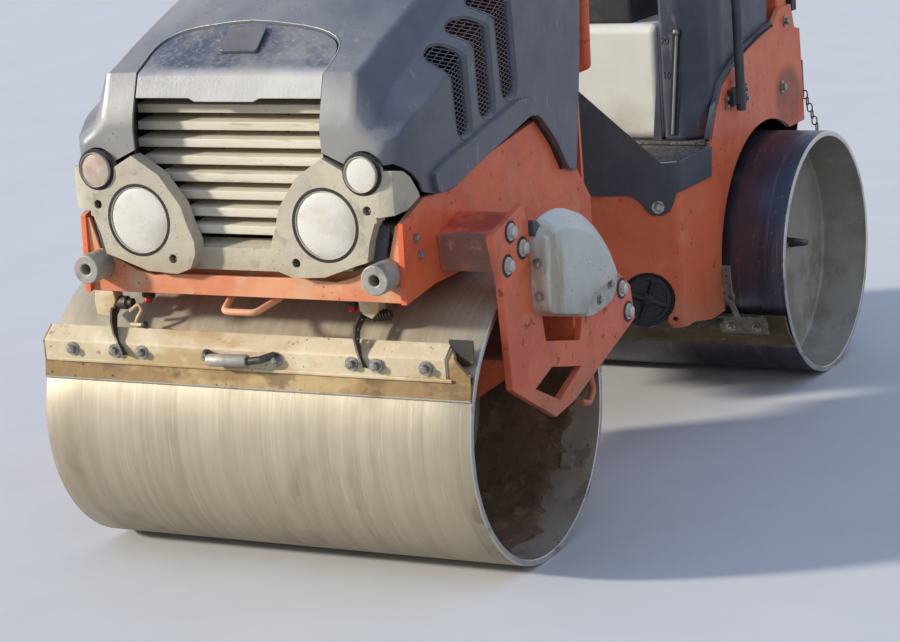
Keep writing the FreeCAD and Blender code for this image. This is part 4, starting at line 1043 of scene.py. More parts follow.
@dataclass
class Hood(Assembly):
    """Moulded engine hood: faceted shell, cap panel with its bare plate, gill vents and raised lip."""

    body: str = "hood"
    wall: float = 0.006
    crown_x: float = 0.190
    ridge_x: float = 0.345
    foot_z: float = 0.82
    nose_round: float = 0.014
    opening_x: float = 0.258
    cap_z: float = 1.201
    tab_z: float = 1.191
    fold: Pair = (-1.277, 1.256)
    nose: Pair = (-1.318, 1.143)
    lip_out: float = 0.471
    rear_y: float = -0.262

    def bends(self, y: float) -> list[Pair]:
        """Corners (x, z) of half a section, from the centre line down to the foot."""
        places = [row[0] for row in HOOD_STATIONS]
        middle, crown, ridge, valley_x, valley_z, side_x, side_z = (
            spline_value(places, [row[k] for row in HOOD_STATIONS], y) for k in range(1, 8))
        side_x, valley_x = min(side_x, 0.458), min(valley_x, 0.39)
        return [(0.0, middle), (self.crown_x, crown), (self.ridge_x, ridge), (valley_x, valley_z),
                (side_x, side_z), (side_x, self.foot_z)]

    def section(self, y: float, inset: float = 0.0) -> list[Vec3]:
        """Whole section with rounded bends, from the left foot over to the right one."""
        corners = [(max(x - inset, 0.0) if x else 0.0, z - inset) for x, z in self.bends(y)]
        corners[-1] = (corners[-2][0], self.foot_z)
        half = [corners[0]]
        for k, reach in ((1, 0.06), (2, 0.014), (3, 0.010), (4, 0.013)):
            before, here, after = (Vector(corners[j]) for j in (k - 1, k, k + 1))
            reach = min(reach, (before - here).length * 0.45, (after - here).length * 0.45)
            start, end = (here + (way - here).normalized() * reach for way in (before, after))
            half += curve(start, here, end, 4)
        half.append(corners[-1])
        left = [(x, y, z) for x, z in reversed(half)]
        return left + [(-x, y, z) for x, z in half[1:]]

    def top_z(self, x: float, y: float) -> float:
        """Height of the skin near the middle."""
        bends = self.bends(y)
        share = min(abs(x) / self.crown_x, 1.0)
        if abs(x) <= self.crown_x:
            return bends[0][1] + (bends[1][1] - bends[0][1]) * share ** 1.6
        share = (abs(x) - self.crown_x) / (self.ridge_x - self.crown_x)
        return bends[1][1] + (bends[2][1] - bends[1][1]) * share

    def skin_x(self, y: float, z: float) -> float:
        """How far out the side's skin is at a height."""
        bends = self.bends(y)
        (valley_x, valley_z), (side_x, side_z) = bends[3], bends[4]
        if z <= side_z:
            return side_x
        share = min((z - side_z) / max(valley_z - side_z, 1e-6), 1.0)
        return side_x + (valley_x - side_x) * share

    def arch(self, x: float) -> float:
        """y of the cap panel's arched rear edge."""
        places = [row[0] for row in CAP_ARCH]
        at = min(abs(x), places[-1])
        i = max(k for k in range(len(places) - 1) if places[k] <= at)
        (x0, y0), (x1, y1) = CAP_ARCH[i], CAP_ARCH[i + 1]
        return y0 + (y1 - y0) * (at - x0) / (x1 - x0)

    def shell(self) -> None:
        """The hood's skin, with its openings."""
        ys = [self.nose[0] + d for d in (0.0, 0.003, 0.008)]
        insets = [self.nose_round, self.nose_round * 0.5, self.nose_round * 0.12]
        fold_y, count = self.fold[0], 58
        ys += [fold_y - 0.027, fold_y - 0.0135]
        ys += [fold_y + (self.rear_y - fold_y) * k / count for k in range(count + 1)]
        insets += [0.0] * (count + 3)
        rings = [self.section(y, inset) for y, inset in zip(ys, insets)]
        skin = loft("hood_skin", rings, caps=False, closed=False)
        work = bmesh.new()
        work.from_mesh(skin.data)
        work.verts.ensure_lookup_table()
        work.faces.new([work.verts[i] for i in range(len(rings[0]))])
        bmesh.ops.recalc_face_normals(work, faces=work.faces)
        if sum(f.normal.z * f.calc_area() for f in work.faces) < 0:
            bmesh.ops.reverse_faces(work, faces=work.faces)
        work.to_mesh(skin.data)
        work.free()
        walled(skin, self.wall, -1.0, even=True)
        below = prism("below", Axis.X, HOOD_EDGE + [(-0.2, 1.33), (-0.2, 0.7), (-1.34, 0.7)], -0.5, 0.5)
        plan = [(-x, y) for x, y in reversed(CAP_ARCH)] + CAP_ARCH[1:]
        cap = prism("cap", Axis.Z, [(-self.opening_x, -1.36), *plan, (self.opening_x, -1.36)], 0.9, 1.5)
        lamp_x, lamp_z, lamp_r = CORNER_LAMP
        tools = [below, cap]
        for side in (-1, 1):
            tools.append(spindle("lamp", [(lamp_r + 0.012, 0.0), (lamp_r + 0.012, 0.08)],
                               (side * lamp_x, -1.345, lamp_z), BACK, 40))
            corner = [(0.250, 1.0), (0.250, 1.079), (lamp_x - lamp_r, lamp_z + 0.016), (lamp_x, 1.0)]
            tools.append(prism("corner", Axis.Y, [(side * x, z) for x, z in corner], -1.345, -1.265))
            for vent in VENTS:
                wide = grown(rounded(vent, 0.014), 0.0075)
                tools.append(prism("gill", Axis.X, wide, side * 0.36, side * 0.48))
        cut(skin, *tools)
        mend(skin, 2e-4, outward=False)
        soften(skin, 0.0016, 2, 38)
        self.keep(skin, "hood_plastic", HOOD, ["hood_shell"])

    def lips(self) -> None:
        """Raised lip along each side's lower edge, and a black rod under it as painted shadow of the gap."""
        outline = rounded(HOOD_LIP, 0.012)
        left = soften(prism("hood_lip_left", Axis.X, outline, 0.449, self.lip_out), 0.007, 3)
        right = mirrored(left, "hood_lip_right")
        for piece in (left, right):
            self.keep(piece, "hood_plastic", HOOD)
        # black rod along the hood's lower edge: painted shadow of the gap under the lip
        seal = [(PLATE_X + 0.0005, y, z - 0.001) for y, z in HOOD_EDGE[5:14]]
        self.rods("hood_gap_shadow", both(seal), RUBBER, "black_plastic", radius=0.004)

    def vents(self) -> None:
        """Sloping rims of the gill vents and the wire mesh behind them."""
        rims, wires = [], []
        for vent in VENTS:
            outline = rounded(vent, 0.014)
            rings = []
            for out, depth in ((0.0085, 0.0006), (0.0072, -0.0004), (0.003, 0.0055), (0.0, 0.009), (0.0,
                                                                                                    0.020)):
                rings.append([(self.skin_x(y, z) - depth, y, z) for y, z in grown(outline, out)])
            rim = loft("rim", rings, caps=False)
            rims.append(rim)
            wires.extend(self.mesh_lines(grown(outline, 0.003)))
        for side, label in ((1, "left"), (-1, "right")):
            whole = joined(f"vent_rims_{label}", [self.sided(r, side) for r in rims])
            self.keep(soften(walled(whole, 0.0018, 0.0), 0.0, angle=40), "hood_plastic", HOOD)
            lines = [[(side * x, y, z) for x, y, z in line] for line in wires]
            self.rods(f"vent_wires_{label}", lines, WIRE, "mesh", ["vent_screens"], radius=0.0011, sides=5)
        for rim in rims:
            bpy.data.objects.remove(rim)

    def sided(self, obj: bpy.types.Object, side: int) -> bpy.types.Object:
        """Copy of a piece made for the left side, on the side asked for."""
        if side < 0:
            return mirrored(obj, obj.name + ".m")
        twin = obj.copy()
        twin.data = obj.data.copy()
        bpy.context.scene.collection.objects.link(twin)
        return twin

    def mesh_lines(self, outline: Sequence[Pair], pitch: float = 0.0106, slope: float = 0.41,
                   step: float = 0.011) -> list[list[Vec3]]:
        """Two sets of crossing wires inside an outline, a little behind the skin."""
        ys, zs = [p[0] for p in outline], [p[1] for p in outline]
        lines = []
        for lean in (-1, 1):
            run = Vector((1.0, lean * slope)).normalized()
            across = Vector((-run.y, run.x))
            centre = Vector(((min(ys) + max(ys)) / 2, (min(zs) + max(zs)) / 2))
            reach = (max(zs) - min(zs)) * 0.8
            for k in range(-int(reach / pitch), int(reach / pitch) + 1):
                line: list[Vec3] = []
                for j in range(-int(reach / step), int(reach / step) + 1):
                    y, z = centre + across * (k * pitch) + run * (j * step)
                    if inside(outline, (y, z)):
                        line.append((self.skin_x(y, z) - 0.0115 - 0.0012 * lean, y, z))
                    else:
                        if len(line) > 1:
                            lines.append(line)
                        line = []
                if len(line) > 1:
                    lines.append(line)
        return lines

    def cap_panel(self) -> None:
        """Sunken cap panel that folds down into a front band made pale by painted sunlight, a bright border rod as
        painted highlight, and its bare plate.
        """
        half, gap, sink, columns = self.opening_x, 0.003, 0.004, 44
        across = [(half - gap) * math.sin(math.pi * (i / columns - 0.5)) for i in range(columns + 1)]
        rows = []
        for k in range(15):
            row = []
            for x in across:
                rear = self.arch(x * half / (half - gap)) - gap
                y = rear + (self.fold[0] + 0.006 - rear) * k / 14
                row.append((x, y, self.top_z(x, y) - sink))
            rows.append(row)
        for drop in (0.003, 0.008, 0.018, 0.034, 0.048, 0.055):
            row = []
            for x in across:
                full = self.fold[1] - self.cap_z + 0.002
                tab = self.fold[1] - self.tab_z if -0.105 < x < 0.074 else full
                z = self.fold[1] - sink - min(drop, full) * (tab / full if drop > 0.05 else 1.0)
                y = self.fold[0] + sink * 0.4 - (self.fold[1] - z - sink) * 0.36
                row.append((x, y, z))
            rows.append(row)
        panel = loft("cap_panel", rows, caps=False, closed=False)
        if sum(p.normal.z * p.area for p in panel.data.polygons) < 0:
            panel.data.flip_normals()
        self.keep(soften(walled(panel, 0.005, -1.0), 0.0015, 2, 50), "hood_plastic", CAP)
        # bright rod round the recess's edge: painted highlight of that edge
        right = [(half, self.fold[0] + 0.004), (half, -1.245)] + list(reversed(CAP_ARCH))
        edge = [(-x, y) for x, y in right[:-1]] + list(reversed(right))
        line = [(x * 1.006, y + 0.0015, self.top_z(x, y + 0.0015) - 0.0002) for x, y in edge]
        self.rods("cap_edge_highlight", [line], RIM, "hood_plastic", radius=0.0016, sides=6)
        middle_y = -1.199
        slope = (self.top_z(0, middle_y + 0.03) - self.top_z(0, middle_y - 0.03)) / 0.06
        plate = []
        for rise in (-0.002, 0.007):
            for_rise = []
            for x, s in rounded(oblong(-0.052, 0.052, -0.036, 0.036), 0.008):
                y = middle_y + s / math.hypot(1, slope)
                for_rise.append((x, y, self.top_z(0, middle_y) + (y - middle_y) * slope + rise))
            plate.append(for_rise)
        self.keep(soften(loft("bare_plate", plate), 0.0022, 3), "hood_plastic", SHELL)

    def inner_walls(self) -> None:
        """Black walls down the sides of the grille opening."""
        walls = []
        for side in (-1, 1):
            edge = [(self.opening_x, self.front_at(z), z) for z in (1.046, 1.10, 1.143, 1.18, 1.22, 1.25)]
            rings = [[(side * x, y, z), (side * (x + 0.036), y + 0.068, z), (side * (x + 0.039), y + 0.068,
                                                                             z),
                      (side * (x + 0.003), y, z)] for x, y, z in edge]
            walls.append(loft("wall", rings))
        self.group("grille_side_walls", walls, "black_plastic", BLACK, 0.0)

    def front_at(self, z: float) -> float:
        """y of the nose's skin at a height."""
        (fold_y, fold_z), (nose_y, nose_z) = self.fold, self.nose
        share = min(max((fold_z - z) / (fold_z - nose_z), 0.0), 1.0)
        return fold_y + (nose_y - fold_y) * share + self.wall

    def make(self) -> None:
        """Make every piece of the hood."""
        self.shell()
        self.lips()
        self.vents()
        self.cap_panel()
        self.inner_walls()


@dataclass
class Lamps(Assembly):
    """Head and corner lamps with their rings, bowls and lenses."""

    body: str = "front_frame"
    front_y: float = -1.339

    def lamp(self, x: float, z: float, radius: float, finish: Finish, label: str) -> None:
        """One lamp: ring, reflector bowl with facets, domed lens."""
        centre = (x, self.front_y, z)
        big = radius > 0.06
        lens_r = radius + (0.003 if big else 0.0)
        sunk = 0.014 if big else 0.004
        bulge = 0.011 if big else 0.0055
        wide = lens_r + (0.0075 if big else 0.0105)
        dome = [(lens_r * math.cos(a), sunk + 0.002 - bulge * math.sin(a)) for a in map(math.radians, range(0,
                                                                                                            90, 10))]
        dome += [(TIP, sunk + 0.002 - bulge), (TIP, sunk + 0.006), (lens_r, sunk + 0.006)]
        parts = [
            ("ring", [(lens_r + 0.002, 0.038), (lens_r + 0.002, sunk - 0.003), (lens_r + 0.001, sunk - 0.004),
                      (lens_r - 0.001, sunk), (lens_r - 0.003, 0.038)], 56, PANEL, 32),
            ("lens", dome, 56, finish, 60),
            ("bowl", [(lens_r - 0.002, sunk + 0.007), (lens_r * 0.8, sunk + 0.016), (lens_r * 0.5,
                                                                                     sunk + 0.022),
                      (0.008, sunk + 0.023), (0.008, sunk + 0.024), (lens_r * 0.8, sunk + 0.019),
                      (lens_r - 0.002, sunk + 0.010)], 20, BOWL, None),
            ("gasket", [(wide, 0.0095), (wide, 0.013), (lens_r, 0.013), (lens_r, 0.0092)], 56, RUBBER, 32)]
        pieces = []
        for name, profile, count, made_of, angle in parts:
            piece = in_finish(lathe(name, profile, centre, BACK, count), made_of)
            pieces.append(soften(piece, 0.0, angle=angle) if angle else piece)
        self.keep(joined(f"lamp_{label}", pieces), "lamp_glass", None, ["headlamps"])

    def make(self) -> None:
        """Make the four lamps."""
        for side, word in ((1, "left"), (-1, "right")):
            x, z, radius = BIG_LAMP
            self.lamp(side * x, z, radius, LENS, f"big_{word}")
            x, z, radius = CORNER_LAMP
            self.lamp(side * x, z, radius, AMBER if side < 0 else LENS, f"corner_{word}")


@dataclass
class Grille(Assembly):
    """Deep slats between the lamp panels, with the dark shroud behind them."""

    body: str = "front_frame"
    top_z: float = 1.170
    pitch: float = 0.0405
    slope: float = 0.13
    front_y: float = -1.240
    halves: tuple[float, ...] = (0.290, 0.290, 0.290, 0.274, 0.231, 0.192, 0.157, 0.144)

    def make(self) -> None:
        """Make the slats, their stays and the shroud."""
        lines = []
        for i, half in enumerate(self.halves):
            z = self.top_z - i * self.pitch
            y = self.front_y - (self.top_z - z) * self.slope
            lines.append([(-half, y, z + 0.003), (half, y, z + 0.003)])
        obj = chained_points("grille_slats", lines)
        SLATS.make(obj, SLAT)
        soften(mend(obj), 0.0, angle=35)
        self.keep(obj, "slat_plastic", None, ["grille_slats"])
        stays = []
        for x in (-0.09, 0.09):
            low_y = self.front_y - (self.top_z - 0.802) * self.slope
            outline = [(low_y + 0.060, 0.802), (self.front_y + 0.060, self.top_z), (self.front_y + 0.090,
                                                                                    self.top_z),
                       (low_y + 0.090, 0.802)]
            stays.append(prism("stay", Axis.X, outline, x - 0.006, x + 0.006))
        self.group("slat_stays", stays, "slat_plastic", BLACK, 0.001)
        shroud = [prism("back", Axis.Y, rounded([(-0.342, 0.84), (-0.24, 0.804), (0.24, 0.804), (0.342, 0.84),
                                                 (0.342, 1.20), (0.30, 1.236), (-0.30, 1.236), (-0.342,
                                                                                                1.20)], 0.02),
                        -1.148, -1.142)]
        for side in (-1, 1):
            plan = [(side * 0.345, -1.222), (side * 0.345, -1.142), (side * 0.340, -1.142), (side * 0.340,
                                                                                             -1.222)]
            shroud.append(prism("cheek", Axis.Z, plan, 1.062, 1.205))
        shroud = joined("grille_shroud", shroud)
        self.keep(soften(shroud, 0.001), "black_plastic", BLACK)


@dataclass
class Drum(Assembly):
    """Drum shell and its two discs. The rear one is the front one turned half way round."""

    body: str = "front_drum"
    label: str = "front"
    turned: int = 1
    radius: float = DRUM_R
    wall: float = 0.016
    width: float = 1.200
    axle_y: float = AXLE_Y
    open_x: float = -0.625
    free_inset: float = 0.135
    carried_inset: float = 0.360
    outside: Finish = DRUM
    within: Finish = DRUM_INSIDE

    def centre(self, x: float) -> Vec3:
        """Point on the axle at a distance along the machine's front drum."""
        return (self.turned * x, self.turned * self.axle_y, self.radius)

    def shell(self) -> None:
        """Shell with eased rims; worn bright there, its own finish outside and within."""
        r, w, t = self.radius, self.width, self.wall
        ease = 0.003
        profile = [(r - ease, 0.0), (r - ease * 0.3, ease * 0.3), (r, ease)]
        profile += [(r, w * k / 12) for k in range(1, 12)]
        profile += [(r, w - ease), (r - ease * 0.3, w - ease * 0.3), (r - ease, w), (r - t + ease * 0.5, w)]
        profile += [(r - t, w - ease * 0.5)] + [(r - t, w * k / 6) for k in range(5, 0, -1)]
        profile += [(r - t, ease * 0.5), (r - t + ease * 0.5, 0.0)]
        obj = lathe(f"{self.label}_drum_skin", profile, self.centre(self.open_x), (self.turned, 0, 0), 128)
        for finish in (self.outside, self.within, RIM):
            in_finish(obj, finish)
        for polygon in obj.data.polygons:
            polygon.use_smooth = True
            off = polygon.center - Vector(self.centre(0.0))
            reach = math.hypot(off.y, off.z)
            across = abs(abs(off.x - self.turned * (self.open_x + w / 2)) - w / 2)
            polygon.material_index = 0 if reach > r - ease * 0.5 else 1
            if across < ease * 2.2 and reach > r - t + 0.0005:
                polygon.material_index = 2
        obj.data.set_sharp_from_angle(angle=math.radians(25))
        self.keep(obj, "drum_steel" if self.turned > 0 else "rear_drum_steel", None,
                  [f"{self.label}_drum_shell"])

    def discs(self) -> None:
        """Welded discs: a plain one with a lifting hook near the open end, a bored one at the carried end."""
        r = self.radius - self.wall - 0.0003
        free_x = self.open_x + self.free_inset
        free = lathe("free", [(r, 0.0), (r - 0.006, 0.0), (r - 0.012, 0.006), (0.060, 0.006), (0.055, 0.003),
                              (TIP, 0.003), (TIP, 0.015), (r, 0.015), (r, 0.010)],
                     self.centre(free_x), (self.turned, 0, 0), 96)
        carried_x = self.open_x + self.width - self.carried_inset
        carried = lathe("carried", [(r, 0.002), (r, 0.015), (r - 0.008, 0.022), (r - 0.016, 0.015), (0.17,
                                                                                                     0.015),
                                    (0.17, 0.019), (0.0605, 0.019), (0.0605, 0.0), (r - 0.004, 0.0)],
                        self.centre(carried_x), (self.turned, 0, 0), 96)
        slot = "drum_steel" if self.turned > 0 else "rear_drum_steel"
        discs = joined(f"{self.label}_drum_webs", [free, carried])
        soften(discs, 0.0, angle=30)
        self.keep(discs, slot, self.within, [f"{self.label}_drum_discs"])
        hook_x = free_x - 0.001
        hook = []
        for dx, dy, dz in ((0.0, -0.040, -0.012), (-0.050, -0.036, -0.004), (-0.066, 0.0, 0.006),
                           (-0.050, 0.036, 0.016), (0.0, 0.040, 0.022)):
            x, y, z = self.centre(hook_x + dx)
            hook.append((x, y + self.turned * dy, z + dz + 0.02))
        self.rods(f"{self.label}_drum_hook", [hook], DARK_STEEL, "dark_steel", radius=0.009, knee=0.015,
                  sides=12)
        rows = []
        for k in range(10):
            a = 2 * math.pi * k / 10
            x, y, z = self.centre(carried_x + 0.0185)
            rows.append(((x, y + 0.155 * math.cos(a), z + 0.155 * math.sin(a)), (self.turned, 0, 0)))
        self.screws(f"{self.label}_drum_screws", rows, DARK_STEEL, radius=0.011, head=0.009, washer=0.016)

    def crust(self) -> None:
        """Caked mud inside the carried end, with a ragged edge, and a small weight on the wall."""
        skin = self.radius - self.wall
        start, end = self.open_x + self.width - 0.088, self.open_x + self.width - self.carried_inset + 0.018
        count, bands = 144, 14
        rings = []
        for k in range(bands + 1):
            share = k / bands
            ring = []
            for i in range(count):
                a = 2 * math.pi * i / count
                turn = Vector((2.2 * math.cos(a), 2.2 * math.sin(a), 3.0 * share))
                ragged = 0.05 * noise.fractal(turn * 2.4, 0.8, 2.2, 5) * (1 - share) ** 2
                thick = 0.0012 if k == 0 else 0.004 + 0.0035 * noise.fractal(turn * 6.0, 0.9, 2.1, 4)
                reach = skin - max(thick, 0.0008)
                x = start + ragged + (end - start) * share
                ring.append((x, self.axle_y + reach * math.cos(a), self.radius + reach * math.sin(a)))
            rings.append(ring)
        for k in (bands, 0):
            rings.append([(x, self.axle_y + (skin + 0.003) * math.cos(2 * math.pi * i / count),
                           self.radius + (skin + 0.003) * math.sin(2 * math.pi * i / count))
                          for i, (x, _, _) in enumerate(rings[k])])
        self.keep(soften(loft(f"{self.label}_drum_mud", rings, looped=True), 0.0, angle=60), "drum_steel",
                  CRUST)
        weight = [self.wall_point(a, inward) for a, inward in ((-39, -0.002), (-31, -0.002), (-32, 0.014),
                                                               (-38, 0.014))]
        piece = prism(f"{self.label}_drum_weight", Axis.X, weight, 0.488, 0.520)
        self.keep(soften(piece, 0.002), "drum_steel", DRUM_INSIDE)

    def wall_point(self, angle: float, inward: float) -> Pair:
        """(y, z) on the shell's inner wall, moved inward."""
        reach = self.radius - self.wall - inward
        a = math.radians(angle)
        return (self.axle_y + reach * math.cos(a), self.radius + reach * math.sin(a))

    def make(self) -> None:
        """Make the drum."""
        self.shell()
        self.discs()
        if self.turned > 0:
            self.crust()


def drum_point(axle_y: float, angle: float, reach: float, forward: int) -> Pair:
    """(y, z) at an angle above the axle's level; forward is -1 ahead of the drum, 1 behind it."""
    a = math.radians(angle)
    return (axle_y + forward * reach * math.cos(a), DRUM_R + reach * math.sin(a))


@dataclass
class DrumArm(Assembly):
    """A drum's arm with its bolts, moulded cover and hub; the rear one is the front one turned half way."""

    body: str = "front_frame"
    end: str = "front"
    prefix: str = ""
    turned: int = 1
    face_x: float = 0.6101
    dome: Pair = (0.6133, 0.655)

    def at(self, x: float, y: float, z: float) -> Vec3:
        """Point or direction of the front arm, turned for the rear one."""
        return (self.turned * x, self.turned * y, z)

    def cover(self) -> bpy.types.Object:
        """Moulded cover: a flange, a slanted rim that rolls over into a flat face, and a scooped corner."""
        foot, face = (rounded(outline, 0.030, 5) for outline in (COVER_FOOT, COVER_FACE))
        low, high = self.dome
        rings = []
        for share, inset in ((0.0, 0.0), (0.5, 0.0), (0.86, 0.0), (0.94, 0.0008), (0.98, 0.0030), (1.0,
                                                                                                   0.0065)):
            outline = [tuple(Vector(a).lerp(Vector(b), share)) for a, b in zip(foot, face)]
            rings.append([(low + (high - low) * share, y, z) for y, z in grown(outline, -inset)])
        middle = Vector((high, -0.83, 0.69))
        rings.append([tuple(Vector(point).lerp(middle, 0.9)) for point in rings[-1]])
        dome = loft("dome", rings)
        cut(dome, soften(prism("scoop", Axis.X, rounded(COVER_SCOOP, 0.02), 0.621, 0.70), 0.006))
        flange = prism("flange", Axis.X, rounded(grown(COVER_FOOT, 0.0015), 0.03, 5), 0.6103, 0.6131)
        cover = soften(joined(self.prefix + "motor_cover_skin", [dome, flange]), 0.0008, angle=35)
        for vertex in cover.data.vertices:
            vertex.co = self.at(*vertex.co)
        return cover

    def make(self) -> None:
        """Make the arm, its cover and hub, and what bolts them."""
        self.eased(f"{self.end}_arm", ARM_PAINT, "frame_paint", 0.0025)
        self.keep(self.cover(), "cover_plastic", COVER, [f"{self.end}_motor_cover"])
        self.eased(f"{self.end}_hub_motor", ORANGE, "dark_steel", 0.003)
        out = self.at(*LEFT)
        big = [(-1.089, 0.851), (-1.034, 0.801), (-1.114, 0.776), (-0.502, 0.580), (-0.471, 0.513)]
        self.screws(self.prefix + "arm_bolts", [(self.at(0.6108, y, z), out) for y, z in big], BRIGHT,
                    radius=0.0150, head=0.009, washer=0.0205, plate=0.003)
        # black discs round the big bolts: painted shade of the recesses the bolts sit in
        ring = [(TIP, 0.0), (0.0275, 0.0), (0.0275, 0.0012), (TIP, 0.0012)]
        rings = [spindle("ring", ring, self.at(self.face_x, y, z), out, 32) for y, z in big]
        self.group(self.prefix + "arm_bolt_shade_rings", rings, "black_plastic", BLACK)
        rows = [(self.at(0.6205, y, z), out) for y, z in ((-0.659, 0.588), (-0.590, 0.612))]
        rows += [(self.at(0.630, -1.0, z), self.at(*AHEAD)) for z in (0.757, 0.677)]
        self.screws(self.prefix + "cover_bolts", rows, BOLT, radius=0.008, head=0.006, washer=0.013)
        outline = metres([(-998, 861), (-974, 853), (-950, 827), (-964, 817), (-999, 820)])
        bracket = prism(self.prefix + "cover_bracket", Axis.X, [(self.turned * y, z) for y,
                                                                z in rounded(outline, 0.006)],
                        self.turned * 0.6103, self.turned * 0.625)
        self.keep(soften(bracket, 0.002), "grey_paint", SKIRT)


@dataclass
class FrontFrame(Assembly):
    """Front frame: side plates, crossbar, lamp panels, drum arm and what is bolted to them."""

    body: str = "front_frame"

    def plates(self) -> None:
        """The CAD plates with eased edges, and the tow loop."""
        for row in (("front_side_plates", ORANGE, "frame_paint", 0.002),
                    ("front_chassis", ORANGE, "frame_paint", 0.0012, 1, self.wall_corners),
                    ("front_crossbar", SUN_PALED_ORANGE, "frame_paint", 0.002),
                    ("bumper_cylinders", CAST, "cast_grey", 0.004, 3),
                    ("headlamp_panels", PANEL, "cast_grey", 0.008, 3),
                    ("front_hitch", ORANGE, "frame_paint", 0.004),
                    ("engine_block", IRON, "engine_iron", 0.012, 3),
                    ("radiator", CORE, "radiator_metal", 0.003),
                    ("steering_pin", DARK_STEEL, "dark_steel", 0.003),
                    ("steering_cylinder", DARK_STEEL, "dark_steel", 0.002)):
            self.eased(*row)
        self.rods("tow_loop_rod", [[(-0.060, -1.258, 0.714), (-0.045, -1.328, 0.692), (0.045, -1.328, 0.692),
                                    (0.075, -1.258, 0.714)]], SUN_PALED_ORANGE, "dark_steel", ["tow_loop"],
                  radius=0.008, knee=0.02, sides=12)

    def wall_corners(self, obj: bpy.types.Object) -> None:
        """Bevel the rear wall's upper corners, which the open hood's edge swings over."""
        corner = [(0.380, 1.42), (0.380, 1.358), (0.424, 1.336), (0.46, 1.318), (0.46, 1.42)]
        cut(obj, *[prism("corner", Axis.Y, [(side * x, z) for x, z in corner], -0.345,
                         -0.285) for side in (-1, 1)])

    def plate_bolts(self) -> None:
        """Bolts at the side plates' front ends."""
        rows = [((side * PLATE_X, y, z), (side, 0.0, 0.0)) for side in (1, -1) for y, z in
                ((-1.247, 0.866), (-1.232, 0.824))]
        self.screws("plate_bolts", rows, BOLT, radius=0.008, head=0.006, washer=0.012)

    def brackets(self) -> None:
        """Dark brackets behind the lamp panels, and the panels' screws."""
        outline = metres([(363, 906), (378, 906), (411, 900), (392, 815), (356, 814), (336, 810)])
        pieces = [prism("bracket", Axis.Y, [(side * x, z) for x, z in outline], -1.2985,
                        -1.2890) for side in (-1, 1)]
        self.group("panel_brackets", pieces, "grey_paint", SKIRT, 0.002)
        rows = [((x, -1.3175, z), AHEAD) for x, z in
                ((0.164, 0.812), (0.379, 0.942), (-0.164, 0.812), (-0.379, 0.942))]
        self.screws("panel_screws", rows, DARK_STEEL, radius=0.006, head=0.005, washer=0.0095, plate=0.001)

    def water(self) -> None:
        """Water pipe behind the crossbar, with red nozzles in black nuts over the drum."""
        self.rods("spray_pipe", [[(-0.40, -1.185, 0.708), (0.38, -1.185, 0.708)]], BLACK, "black_plastic",
                  radius=0.011, sides=14)
        nuts, tips = [], []
        for x in (-0.350, 0.232):
            aim = (0.0, -0.35, -1.0)
            nuts.append(spindle("nut", [(TIP, -0.012), (0.017, -0.012), (0.017, 0.010), (0.013, 0.014), (TIP,
                                                                                                         0.014)],
                              (x, -1.188, 0.694), aim, 8))
            tips.append(spindle("tip", [(TIP, 0.012), (0.0105, 0.012), (0.0105, 0.022), (0.006, 0.026),
                                      (TIP, 0.026)], (x, -1.188, 0.694), aim, 16))
        self.group("spray_nuts", nuts, "black_plastic", BLACK, 0.001)
        self.group("spray_tips", tips, "lamp_red", NOZZLE, 0.0008)

    def eye(self) -> None:
        """Bent tie-down eye behind the arm's lower corner."""
        line = [(0.584, -0.715, 0.425), (0.584, -0.665, 0.400), (0.584, -0.648, 0.352), (0.584, -0.678,
                                                                                         0.326),
                (0.584, -0.722, 0.340)]
        self.rods("tie_down_eye", [line], ARM_PAINT, "frame_paint", radius=0.0085, knee=0.018, sides=12)

    def make(self) -> None:
        """Make every piece of the front frame."""
        self.plates()
        self.plate_bolts()
        self.brackets()
        self.water()
        self.eye()


